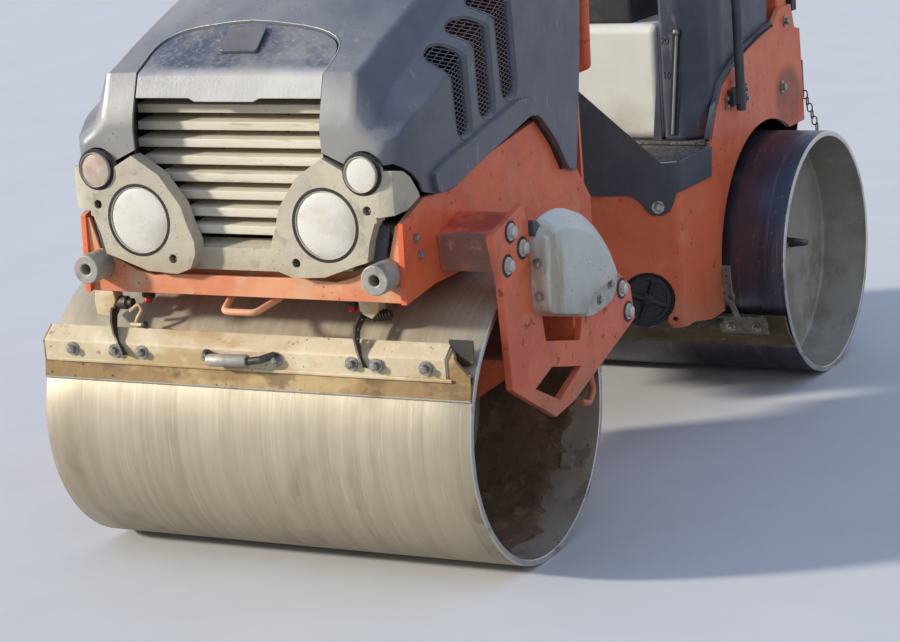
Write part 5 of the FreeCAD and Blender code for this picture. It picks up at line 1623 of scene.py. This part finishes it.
@dataclass
class FrontScraper(Assembly):
    """Front scraper: folded bar with its bolts, ochre blade, cover plate, handle, hangers and springs."""

    body: str = "front_frame"
    left_x: float = 0.575
    right_x: float = -0.625
    bolt_y: float = -1.2758
    bolt_z: float = 0.566

    def at(self, angle: float, reach: float) -> Pair:
        """Point of the section round the drum; reach is from the drum's skin."""
        return drum_point(AXLE_Y, angle, SKIN_R + reach, -1)

    def strip(self, name: str, corners: Sequence[Pair], low: float, high: float, finish: Finish,
              ease: float = 0.0015, replaces: Sequence[str] = (), notch: Sequence[Pair] = ()) -> None:
        """Bar along the drum on corners of (angle, reach); notch (x, z) is cut out of it."""
        piece = prism(name, Axis.X, [self.at(*p) for p in corners], low, high)
        if notch:
            cut(piece, prism("notch", Axis.Y, notch, -1.35, -1.15))
        self.keep(soften(piece, ease), "scraper_steel", finish, replaces)

    def bar(self) -> None:
        """The folded bar, its ends, lip and cover plate, and the blade under them."""
        body = ((27.0, 0.012), (27.0, 0.021), (33.2, 0.0465), (34.4, 0.0465), (40.5, 0.034), (40.5, 0.028),
                (34.2, 0.0395), (33.6, 0.037), (28.2, 0.012))
        ends = [(a, r - 0.003) for a, r in body]
        self.strip("scraper_bar", body, -0.617, 0.518, SCRAPER, replaces=["front_scraper"])
        self.strip("scraper_end_left", ends, 0.518, self.left_x, BLADE,
                   notch=[(0.519, 0.606), (0.572, 0.546), (0.60, 0.546), (0.60, 0.66), (0.519, 0.66)])
        self.strip("scraper_end_right", ends, self.right_x, -0.617, BLADE)
        self.strip("scraper_lip", ((26.8, 0.0195), (26.8, 0.0245), (27.5, 0.0275), (28.0, 0.0265)), -0.577,
                   0.528,
                   SCRAPER, 0.0008)
        self.strip("scraper_cover", ((28.0, 0.0275), (33.4, 0.0510), (34.6, 0.0510), (39.4, 0.0415), (39.4,
                                                                                                      0.0375),
                                     (34.4, 0.0466), (33.4, 0.0466), (28.0, 0.0250)), 0.357, 0.515, SCRAPER,
                                     0.001)
        self.strip("scraper_blade", ((20.5, 0.0), (20.9, 0.007), (30.0, 0.026), (30.8, 0.016)), self.right_x,
                   self.left_x, BLADE)
        self.strip("scraper_edge", ((20.35, 0.0012), (20.7, 0.0078), (21.1, 0.0088), (20.8, 0.0020)),
                   self.right_x,
                   self.left_x, RIM, 0.0)
        rows = [((x, self.bolt_y, self.bolt_z), AHEAD) for x in (-0.532, -0.406, -0.327, -0.137, 0.057,
                                                                 0.265)]
        rows += [((x, self.bolt_y - 0.005, self.bolt_z), AHEAD) for x in (0.333, 0.465)]
        self.screws("scraper_bolts", rows, BOLT, radius=0.0105, head=0.013, washer=0.0175)

    def handle(self) -> None:
        """Lifting handle on the bar: a bright grip between dark bent ends."""
        grip = spindle("scraper_grip", [(TIP, 0.0), (0.014, 0.0), (0.0155, 0.004), (0.0155, 0.108), (0.014,
                                                                                                     0.112),
                                      (TIP, 0.112)], (-0.118, -1.303, 0.563), (1, 0, 0.03), 24)
        self.keep(soften(grip, 0.0), "dark_steel", CAST)
        lines = [[(-0.137, -1.279, 0.574), (-0.124, -1.299, 0.574), (-0.112, -1.303, 0.564)],
                 [(-0.008, -1.303, 0.565), (0.028, -1.301, 0.570), (0.058, -1.280, 0.578)]]
        self.rods("scraper_handle", lines, DARK_STEEL, "dark_steel", radius=0.0095, knee=0.008, sides=12)

    def hangers(self) -> None:
        """Blocks under the crossbar with springs, and the curved straps down to the bar."""
        left = metres([(-486, 678), (-478, 721.5), (-430, 721.5), (-422, 680), (-442, 639), (-481, 643)])
        right = metres([(263, 721.5), (265, 690), (268, 674), (299, 661), (317, 680), (321, 721.5)])
        blocks = [prism("left", Axis.Y, rounded(left, 0.004), -1.230, -1.192),
                  prism("right", Axis.Y, rounded(right, 0.004), -1.222, -1.184)]
        self.group("hanger_blocks", blocks, "scraper_steel", SCRAPER, 0.003)
        straps = [strap("left", metres([(-437, -1205, 668), (-434, -1226, 648), (-424, -1246, 625), (-406,
                                                                                                     -1265,
                                                                                                     602),
                                        (-386, -1277, 580), (-372, -1283, 558)]), 0.014, 0.003),
                  strap("right", metres([(275, -1200, 680), (268, -1218, 664), (266, -1240, 643), (273, -1260,
                                                                                                   618),
                                         (287, -1273, 593), (304, -1283, 560)]), 0.013, 0.003)]
        holes = [spindle("hole", [(0.0038, -0.02), (0.0038, 0.02)], p, LEFT, 16)
                 for p in metres([(268, -1222, 660), (266, -1240, 641), (271, -1256, 622)])]
        cut(straps[1], *holes)
        self.group("hanger_straps", straps, "dark_steel", DARK_STEEL, 0.0008)
        sleeves = [spindle("left", [(TIP, 0.0), (0.017, 0.0), (0.017, 0.030), (0.012, 0.032), (0.012, 0.046),
                                  (TIP, 0.046)], (-0.430, -1.210, 0.672), LEFT, 24),
                   spindle("right", [(TIP, 0.0), (0.009, 0.0), (0.009, 0.060), (TIP, 0.060)],
                         (0.284, -1.205, 0.662), (1, 0, 0.18), 20)]
        self.group("hanger_sleeves", sleeves, "dark_steel", DARK_STEEL, 0.001)
        self.rods("hanger_spring", [coil((0.290, -1.205, 0.663), (0.045, 0.0, 0.008), 0.0115, 6)], DARK_STEEL,
                  "dark_steel", radius=0.0022, sides=6)
        lever = metres([(-384, -1225, 655), (-364, -1235, 668), (-350, -1235, 677), (-343, -1235, 662),
                        (-357, -1235, 643), (-366, -1232, 630)])
        self.rods("hanger_lever", [lever, metres([(-384, -1228, 622), (-343, -1235, 624)])], SCRAPER,
                  "scraper_steel",
                  radius=0.0045, knee=0.006, sides=10)
        knob = spindle("hanger_knob", [(TIP, -0.009), (0.007, -0.006), (0.009, 0.0), (0.007, 0.006), (TIP,
                                                                                                      0.009)],
                     (-0.340, -1.235, 0.624), (0, 0, 1), 20)
        self.keep(soften(knob, 0.0, angle=60), "dark_steel", DARK_STEEL)
        corner = metres([(510, 628), (575, 628), (573, 574), (562, 566), (541, 566), (516, 597)])
        self.keep(soften(prism("scraper_guard", Axis.Y, rounded(corner, 0.005), -1.246, -1.242), 0.001),
                  "dark_steel",
                  DARK_STEEL)

    def make(self) -> None:
        """Make the whole scraper."""
        self.bar()
        self.handle()
        self.hangers()


@dataclass
class RearFrame(Assembly):
    """Rear frame: bent side plates, skirts, floor, deck, tank, shells, rails, roll bar and drum carrier."""

    body: str = "rear_frame"

    def plates(self) -> None:
        """The CAD plates with eased edges."""
        for row in (("rear_side_plates", ORANGE, "frame_paint", 0.002),
                    ("rear_yoke", ORANGE, "frame_paint", 0.003),
                    ("rear_deck", GRIT, "grey_paint", 0.002),
                    ("rear_panel", ORANGE, "frame_paint", 0.004),
                    ("platform_floor", GRIT, "grey_paint", 0.002),
                    ("platform_skirts", SKIRT, "grey_paint", 0.0015),
                    ("console", BLACK, "black_plastic", 0.02, 4),
                    ("filter_caps", BLACK, "black_plastic", 0.003),
                    ("water_tank", TANK, "tank_plastic", 0.03, 4),
                    ("fender_shells", SHELL, "hood_plastic", 0.014, 4),
                    ("rear_housing", SHELL, "hood_plastic", 0.02, 4),
                    ("seat_base", BLACK, "black_plastic", 0.01, 3),
                    ("steering_wheel", RUBBER, "wheel_rim", 0.0),
                    ("sight_tube", TUBE, "tube_plastic", 0.0),
                    ("grab_handles", ORANGE, "frame_paint", 0.0),
                    ("handrails", SKIRT, "dark_steel", 0.0, 2, self.bare_rails),
                    ("rops_frame", ORANGE, "frame_paint", 0.008, 3),
                    ("rear_lamps", BLACK, "black_plastic", 0.006, 3),
                    ("tow_hitch", ORANGE, "frame_paint", 0.003),
                    # the rear scraper's dark brown is painted shade
                    ("rear_scraper", SHADED_REAR_SCRAPER, "scraper_steel", 0.0015)):
            self.eased(*row)

    def bare_rails(self, obj: bpy.types.Object) -> None:
        """Take the brackets off the rails; they are made apart."""
        cut(obj, *[prism("bracket", Axis.X, oblong(near, far, 0.84, 0.90), side * 0.4472, side * 0.49)
                   for near, far in ((0.64, 0.684), (0.7165, 0.82)) for side in (1, -1)])

    def slant(self, along: float, z: float, out: float, side: int = 1) -> Vec3:
        """Point on the slanted front plate: along it from its outer edge, and out from its face."""
        return (side * (0.447 - 0.878 * along + 0.479 * out), 0.262 - 0.479 * along - 0.878 * out, z)

    def caps(self) -> None:
        """Ribs, hubs and rims of the round caps in the arch, and the holed tab beside each."""
        ribs, hubs, tabs = [], [], []
        for side in (1, -1):
            aim = (side * 0.479, -0.878, 0.0)
            for turn in range(0, 180, 90):
                a = math.radians(turn + 22)
                ends = [self.slant(0.105 + sign * 0.060 * math.cos(a), 0.370 + sign * 0.060 * math.sin(a),
                                   -0.005, side)
                        for sign in (-1, 1)]
                ribs.append(ends)
            hubs.append(spindle("hub", [(TIP, -0.004), (0.020, -0.004), (0.020, 0.007), (0.012, 0.011),
                                      (TIP, 0.011)], self.slant(0.105, 0.370, -0.008, side), aim, 28))
            hubs.append(lathe("ring", [(0.056, -0.004), (0.056, 0.004), (0.064, 0.004), (0.064, -0.004)],
                              self.slant(0.105, 0.370, -0.008, side), aim, 48))
            tabs.append(lathe("tab", [(0.0075, 0.0), (0.0075, 0.006), (0.020, 0.006), (0.020, 0.0)],
                              self.slant(0.029, 0.311, 0.0005, side), aim, 28))
        self.rods("cap_ribs", ribs, BLACK, "black_plastic", radius=0.0075, sides=10)
        self.group("cap_hubs", hubs, "black_plastic", BLACK, 0.001)
        self.group("frame_tabs", tabs, "frame_paint", ORANGE, 0.001)

    def bolts(self) -> None:
        """Bolts of the skirts, side plates, rails, roll bar and rear panel."""
        big, small = [], []
        for side in (1, -1):
            aim = (side * 0.479, -0.878, 0.0)
            big.append((self.slant(0.060, 0.634, 0.0068, side), aim))
            for y, z in ((1.134, 1.024), (1.084, 0.832)):
                big.append(((side * 0.4472, y, z), (side, 0.0, 0.0)))
            for y, z in ((0.793, 0.873), (0.798, 0.845), (0.640, 0.870), (0.640, 0.848)):
                small.append(((side * 0.4485, y, z), (side, 0.0, 0.0)))
            for x, y in ((0.340, 1.100), (0.415, 1.100), (0.340, 1.208), (0.415, 1.208)):
                small.append(((side * x, y, 0.7795), (0.0, 0.0, 1.0)))
            for x, z in ((0.405, 0.730), (0.405, 0.960), (0.150, 0.730), (0.150, 0.960)):
                small.append(((side * x, 1.2602, z), (0.0, 1.0, 0.0)))
            small.append(((side * 0.300, 1.2602, 0.800), (0.0, 1.0, 0.0)))
        self.screws("frame_bolts", big, BOLT, radius=0.0115, head=0.010, washer=0.018, plate=0.003)
        self.screws("small_bolts", small, BOLT, radius=0.0065, head=0.005, washer=0.0105)
        feet = [prism("foot", Axis.Z, rounded(oblong(side * 0.392 - 0.07, side * 0.392 + 0.05, 1.084, 1.224),
                                              0.008),
                      0.7682, 0.779) for side in (1, -1)]
        self.group("roll_bar_feet", feet, "frame_paint", ORANGE, 0.002)

    def scraper(self) -> None:
        """Perforated lever, worn plate, springs and bolts of the rear scraper."""
        line = metres([(505, 430, 425), (505, 434, 380), (505, 440, 345), (507, 450, 318), (513, 476, 268),
                       (520, 508, 222), (530, 536, 208)])
        upper = strap("upper", line[:3], 0.003, 0.014)
        lower = strap("lower", line[3:], 0.003, 0.008)
        holes = [spindle("hole", [(0.0032, -0.02), (0.0032, 0.02)], (0.505, y, z), BACK, 16)
                 for y, z in ((0.431, 0.413), (0.433, 0.395), (0.435, 0.377))]
        cut(upper, *holes)
        eye = lathe("eye", [(0.008, -0.005), (0.016, -0.005), (0.016, 0.005), (0.008, 0.005)], (0.506, 0.446,
                                                                                                0.330),
                    (0, 1, 0.2), 32)
        self.group("scraper_lever", [upper, lower, eye], "scraper_steel", WORN, 0.0008)
        plate = [drum_point(-AXLE_Y, a, SKIN_R + r, -1) for a, r in
                 ((-17.2, 0.0308), (-17.2, 0.0350), (-24.2, 0.0350), (-26.0, 0.0325), (-26.0, 0.0275), (-24.0,
                                                                                                        0.0308))]
        self.keep(soften(prism("scraper_wear_plate", Axis.X, plate, 0.420, 0.570), 0.001), "scraper_steel",
                  WORN)
        y, z = drum_point(-AXLE_Y, -22.0, SKIN_R + 0.0355, -1)
        aim = (0.0, -math.cos(math.radians(22)), -math.sin(math.radians(22)))
        rows = [((x, y, z), aim) for x in (-0.50, -0.30, -0.05, 0.20, 0.455, 0.535)]
        self.screws("rear_scraper_bolts", rows, BOLT, radius=0.009, head=0.010, washer=0.0145)
        springs = [coil((0.36 * s - 0.03, 0.430, 0.262), (0.075, 0.0, 0.0), 0.014, 7) for s in (1, -1)]
        self.rods("rear_scraper_springs", springs, DARK_STEEL, "dark_steel", radius=0.003, sides=8)
        stems = [[(0.36 * s - 0.05, 0.430, 0.262), (0.36 * s + 0.065, 0.430, 0.262), (0.36 * s + 0.075, 0.500,
                                                                                      0.235),
                  (0.36 * s + 0.075, 0.545, 0.235)] for s in (1, -1)]
        self.rods("rear_scraper_stems", stems, DARK_STEEL, "dark_steel", radius=0.008, knee=0.02, sides=12)

    def trims(self) -> None:
        """Chain, seals, plates and bars at the rear, and the lamps' lenses."""
        chain = chained_points("hanging_chain", [[(0.449 + 0.0068 * k, 1.268 + 0.0002 * k, 0.777 - 0.0203 * k)
                                                  for k in range(6)]])
        self.keep(CHAIN.make(chain, DARK_STEEL), "dark_steel")
        seal = [(0.4475, 0.785, 0.981), (0.4475, 0.893, 1.009), (0.4475, 1.025, 1.027)]
        self.rods("plate_seals", both(seal), RUBBER, "black_plastic", radius=0.004)
        edge = [(0.190, 0.1215, 0.757), (0.446, 0.2610, 0.757)]
        self.rods("floor_edges", both(edge), RIM, "grey_paint", radius=0.0018, sides=6)
        bars, lenses, shells = [], [], []
        upper = [(y - 0.010, z + 0.010) for y, z in SHELL_EDGE]
        strip = [(y - 0.0004, z + 0.0004) for y, z in SHELL_EDGE] + list(reversed(upper))
        flange = [(0.268, 0.7685), (0.296, 0.7685), (0.301, 1.095), (0.297, 1.101), (0.290, 0.95)]
        for side in (1, -1):
            shells.append(prism("strip", Axis.X, strip, side * 0.4312, side * 0.4464))
            shells.append(prism("flange", Axis.Y, [(side * x, z) for x, z in flange], 0.5105, 0.5145))
            # black bar behind the roll bar's post: painted shade of the post's far side
            bars.append(prism("bar", Axis.X, oblong(1.203, 1.240, 1.045, 1.290), side * 0.425, side * 0.445))
            bars.append(prism("plate", Axis.X, oblong(1.262, 1.274, 0.768, 0.885), side * 0.405,
                              side * 0.445))
            for x, finish in ((0.258, PALE), (0.315, AMBER), (0.372, RED)):
                corners = oblong(side * x - 0.023, side * x + 0.023, 0.878, 0.932)
                lens = prism("lens", Axis.Y, rounded(corners, 0.008), 1.299, 1.309)
                lenses.append(in_finish(soften(lens, 0.003, 3), finish))
        blocks = [prism("block", Axis.X, oblong(0.652, 0.714, 0.845, 0.893), side * 0.4474, side * 0.466)
                  for side in (1, -1)]
        # black strip behind the sight tube: painted shade of the recess it sits in
        lean = [(0.318, 0.786), (0.346, 0.786), (0.379, 1.092), (0.349, 1.092)]
        blocks.append(prism("channel", Axis.Y, rounded(lean, 0.006), 0.5090, 0.5112))
        guard = metres([(1245, 706), (1252, 706), (1217, 633), (1210, 635)])
        blocks.append(prism("guard", Axis.X, guard, -0.431, 0.431))
        self.group("rear_bars", bars + blocks, "black_plastic", BLACK, 0.002)
        self.group("shell_flanges", shells, "hood_plastic", SHELL, 0.001)
        top = spindle("tube_top", [(TIP, 0.0), (0.009, 0.0), (0.009, 0.010), (TIP, 0.012)], (0.362, 0.509,
                                                                                             1.083),
                    (0, -1, 0), 20)
        self.keep(soften(top, 0.0008), "dark_steel", BOLT)
        self.keep(joined("rear_lenses", lenses), "lamp_red")
        outline = metres([(-150, 780), (-150, 850), (150, 850), (150, 780)])
        plate = prism("bare_number_plate", Axis.Y, rounded(outline, 0.01), 1.2602, 1.2645)
        self.keep(soften(plate, 0.001), "hood_plastic", GAUGE)

    def marks(self) -> None:
        """Plain level marks 20 and 10 beside the sight tube."""
        shapes = {"2": [(0, 7), (1, 8.6), (3, 8.6), (4, 7), (3.6, 5.2), (0, 0), (4.4, 0)],
                  "1": [(0.8, 7), (2.4, 8.6), (2.4, 0)],
                  "0": [(2, 8.6), (0.4, 7), (0, 4.3), (0.4, 1.6), (2, 0), (3.6, 1.6), (4, 4.3), (3.6, 7), (2,
                                                                                                           8.6)]}
        lines = []
        for text, z in (("20", 1.048), ("10", 0.950)):
            for k, sign in enumerate(text):
                lines.append([(0.311 + 0.013 * k + 0.0022 * x, 0.5102, z + 0.0022 * y) for x,
                              y in shapes[sign]])
        self.rods("level_marks", lines, INK, "hood_plastic", radius=0.0012, sides=6)

    def controls(self) -> None:
        """Gauges, keys and levers on the console, and the steering wheel's hub."""
        up = Vector((0.0, -0.165, 0.986))
        face = Vector((0.0, 0.986, 0.165))
        centre = Vector((0.0, 0.0275, 1.225))
        rims, faces, needles, knobs = [], [], [], []
        for x, radius in ((-0.105, 0.024), (-0.04, 0.030), (0.04, 0.030), (0.105, 0.024)):
            at = centre + Vector((x, 0, 0))
            rims.append(lathe("rim", [(radius, 0.0), (radius, 0.006), (radius - 0.004, 0.007),
                                      (radius - 0.005, 0.0)],
                              tuple(at), tuple(face), 36))
            faces.append(spindle("face", [(TIP, 0.0), (radius - 0.0045, 0.0), (radius - 0.0045, 0.003), (TIP,
                                                                                                         0.003)],
                               tuple(at), tuple(face), 36))
            tip = at + face * 0.004 + up * radius * 0.55 + Vector((radius * 0.3, 0, 0))
            needles.append([tuple(at + face * 0.004), tuple(tip)])
        for x in (-0.15, 0.15):
            for rise in (-0.02, 0.015):
                at = centre + Vector((x, 0, 0)) + up * rise
                knobs.append(spindle("knob", [(TIP, 0.0), (0.008, 0.0), (0.007, 0.010), (TIP, 0.011)],
                                     tuple(at),
                                   tuple(face), 20))
        self.group("gauge_rims", rims + knobs, "black_plastic", RUBBER, 0.0)
        self.group("gauge_faces", faces, "wheel_rim", GAUGE, 0.0)
        self.rods("gauge_needles", needles, INK, "dark_steel", radius=0.0008, sides=5)
        lever = [(0.150, -0.040, 1.270), (0.158, -0.010, 1.360), (0.160, 0.020, 1.420)]
        self.rods("drive_lever", [lever], CHROME, "bright_rod", radius=0.006, knee=0.03, sides=12)
        ball = spindle("lever_ball", [(TIP, -0.026), (0.012, -0.022), (0.019, -0.008), (0.020, 0.006), (0.014,
                                                                                                        0.020),
                                    (TIP, 0.026)], (0.160, 0.022, 1.432), (0, 0.45, 0.9), 28)
        self.keep(soften(ball, 0.0, angle=60), "black_plastic", BLACK)
        tilt = (0.0, math.sin(math.radians(32)), math.cos(math.radians(32)))
        hub = spindle("wheel_hub_cap", [(TIP, 0.010), (0.040, 0.010), (0.044, 0.014), (0.040, 0.020), (0.020,
                                                                                                       0.026),
                                      (TIP, 0.027)], (0, 0.062, 1.372), tilt, 36)
        self.keep(soften(hub, 0.0, angle=50), "black_plastic", BLACK)

    def make(self) -> None:
        """Make every piece of the rear frame."""
        self.plates()
        self.caps()
        self.bolts()
        self.scraper()
        self.trims()
        self.marks()
        self.controls()


@dataclass
class Seat(Assembly):
    """Padded seat: cushion and back, swollen by a short cloth simulation, with piping round their seams."""

    body: str = "rear_frame"
    inset: float = 0.020
    travel: float = 0.024
    grid: float = 0.006
    pressure: float = 4.0
    frames: int = 20

    def swollen(self, node: str) -> bpy.types.Object:
        """Pad grown from a slightly smaller block, kept inside the CAD solid."""
        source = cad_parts[node]
        pad = new_object(node + "_pad", [], [])
        pad.data = source.data.copy()
        corners = [v.co.copy() for v in pad.data.vertices]
        low, high = ([pick(c[k] for c in corners) for k in range(3)] for pick in (min, max))
        middle = (Vector(low) + Vector(high)) / 2
        shrink = [1 - 2 * self.inset / (b - a) for a, b in zip(low, high)]
        for vertex in pad.data.vertices:
            vertex.co = middle + Vector([(vertex.co[k] - middle[k]) * shrink[k] for k in range(3)])
        mend(pad)
        even = pad.modifiers.new("even", "REMESH")
        even.mode, even.voxel_size = "VOXEL", self.grid
        settle(pad)
        start = [v.co.copy() for v in pad.data.vertices]
        cloth = pad.modifiers.new("swell", "CLOTH")
        cloth.settings.use_pressure = True
        cloth.settings.uniform_pressure_force = self.pressure
        cloth.settings.effector_weights.gravity = 0.0
        for number in range(1, self.frames + 1):
            bpy.context.scene.frame_set(number)
        settle(pad)
        bpy.context.scene.frame_set(1)
        for vertex, begun in zip(pad.data.vertices, start):
            move = vertex.co - begun
            if move.length > self.travel:
                vertex.co = begun + move.normalized() * self.travel
            found, nearest, normal, _ = source.closest_point_on_mesh(vertex.co)
            if found and (vertex.co - nearest).dot(normal) > -0.0008:
                vertex.co = nearest - normal * 0.0008
        finer = pad.modifiers.new("finer", "SUBSURF")
        finer.levels = 1
        settle(pad)
        return soften(pad, 0.0, angle=70)

    def seams(self, node: str, pad: bpy.types.Object, loops: Sequence[Sequence[Vec3]]) -> None:
        """Piping laid on the pad along loops near its surface."""
        lines = []
        for loop in loops:
            line = []
            for i, here in enumerate(loop):
                after = Vector(loop[(i + 1) % len(loop)])
                for step in range(10):
                    _, nearest, normal, _ = pad.closest_point_on_mesh(Vector(here).lerp(after, step / 10))
                    line.append(tuple(nearest - normal * 0.0005))
            lines.append([*line, line[0]])
        self.rods(f"{node}_piping", lines, PIPING, "seat_vinyl", radius=0.0028, sides=8)

    def make(self) -> None:
        """Make the two pads and their piping."""
        loops = {
            "seat_cushion": [metres([(-238, 507, z), (0, 507, z), (238, 507, z), (238, 720, z), (238, 928, z),
                                     (0, 928, z), (-238, 928, z), (-238, 720, z)]) for z in (1276, 1214)],
            "seat_back": [metres([(x, y - 12, 1320), (x, y + 26, 1480), (0.9 * x, y + 62, 1630), (0, y + 68,
                                                                                                  1650),
                                  (-0.9 * x, y + 62, 1630), (-x, y + 26, 1480), (-x, y - 12, 1320), (0,
                                                                                                     y - 14,
                                                                                                     1302)])
                          for x, y in ((222, 925), (222, 962))]}
        for node, lines in loops.items():
            pad = self.keep(self.swollen(node), "seat_vinyl", VINYL, [node])
            self.seams(node, pad, lines)


@dataclass
class Studio:
    """Pale floor, soft lamps and the camera at the photograph's angle."""

    azimuth: float = 28.74
    elevation: float = 13.18
    roll: float = -4.47
    place: Vec3 = (3.452, -6.594, 2.101)
    lens: float = 109.04
    sun_from: Vec3 = (-0.78, -0.52, 0.36)
    sun_strength: float = 4.0
    sky_strength: float = 0.86
    horizon: Vec3 = (0.96, 0.94, 0.92)
    zenith: Vec3 = (0.42, 0.56, 0.86)
    bounce: Vec3 = (0.22, 0.21, 0.20)

    def camera(self) -> None:
        """Camera where the photographer stood."""
        a, e, roll = (math.radians(v) for v in (self.azimuth, self.elevation, self.roll))
        back = Vector((math.sin(a) * math.cos(e), -math.cos(a) * math.cos(e), math.sin(e)))
        right = (-back).cross(Vector((0, 0, 1))).normalized()
        up = right.cross(-back)
        tilted = right * math.cos(roll) + up * math.sin(roll)
        top = up * math.cos(roll) - right * math.sin(roll)
        data = bpy.data.cameras.new("camera")
        data.lens, data.sensor_width = self.lens, 36.0
        camera = bpy.data.objects.new("camera", data)
        turn = Matrix((tilted, top, back)).transposed().to_4x4()
        camera.matrix_world = Matrix.Translation(Vector(self.place)) @ turn
        bpy.context.scene.collection.objects.link(camera)
        bpy.context.scene.camera = camera

    def light(self) -> None:
        """Sun low at the front right, and a pale sky that turns blue overhead."""
        data = bpy.data.lights.new("sun", "SUN")
        data.energy, data.angle, data.color = self.sun_strength, math.radians(5), (1.0, 0.94, 0.84)
        sun = bpy.data.objects.new("sun", data)
        sun.rotation_mode = "QUATERNION"
        sun.rotation_quaternion = Vector(self.sun_from).to_track_quat("Z", "Y")
        bpy.context.scene.collection.objects.link(sun)
        world = bpy.data.worlds.new("sky")
        bpy.context.scene.world = world
        world.use_nodes = True
        graph = Graph(world.node_tree)
        place = graph.node("ShaderNodeTexCoord").outputs["Generated"]
        height = graph.node("ShaderNodeSeparateXYZ", None, {0: place}).outputs[2]
        ramp = graph.node("ShaderNodeValToRGB", None, {0: height})
        stops = ((self.horizon, 0.05), (self.zenith, 0.7))
        for element, (colour, at) in zip(ramp.color_ramp.elements, stops):
            element.color, element.position = (*colour, 1.0), at
        background = graph.tree.nodes["Background"].inputs
        graph.tree.links.new(ramp.outputs[0], background["Color"])
        background["Strength"].default_value = self.sky_strength

    def floor(self) -> None:
        """Pale floor with a faint grain, which throws back as little light as a road."""
        half = 40.0
        corners = [(x, y, 0.0) for x, y in oblong(-half, half, -half, half)]
        obj = new_object("floor", corners, [(0, 1, 2, 3)])
        material = Finish("pale_floor", (206, 206, 204), 0.85, mottle=0.02).material()
        graph = Graph(material.node_tree)
        colour = next(node for node
                      in graph.tree.nodes if node.type == "BSDF_PRINCIPLED").inputs["Base Color"]
        rays = graph.node("ShaderNodeLightPath").outputs
        seen = graph.sum("MAXIMUM", rays["Is Camera Ray"], rays["Is Glossy Ray"])
        seen = graph.sum("MAXIMUM", seen, rays["Is Transmission Ray"])
        inputs = {0: seen, 6: (*self.bounce, 1.0), 7: colour.links[0].from_socket}
        graph.tree.links.new(graph.node("ShaderNodeMix", {"data_type": "RGBA"}, inputs).outputs[2], colour)
        obj.data.materials.append(material)

    def make(self) -> None:
        """Set the stage."""
        self.camera()
        self.light()
        self.floor()
        bpy.context.scene.view_settings.view_transform = "Standard"


def main() -> None:
    """Build every sub-assembly in order."""
    logging.basicConfig(level=logging.INFO, format="%(message)s")
    Studio().make()
    FrontFrame().make()
    DrumArm().make()
    FrontScraper().make()
    Grille().make()
    Lamps().make()
    Hood().make()
    Drum().make()
    # the rear drum's dark steel is painted shade
    Drum("rear_drum", "rear", -1, outside=SHADED_REAR_DRUM, within=REAR_INSIDE).make()
    Assembly("articulation_link").eased("articulation_link", DARK_STEEL, "dark_steel", 0.003)
    Assembly("steering_rod").eased("steering_rod", CHROME, "bright_rod", 0.001)
    RearFrame().make()
    DrumArm("rear_frame", "rear", "rear_", -1).make()
    Seat().make()


if __name__ == "__main__":
    main()
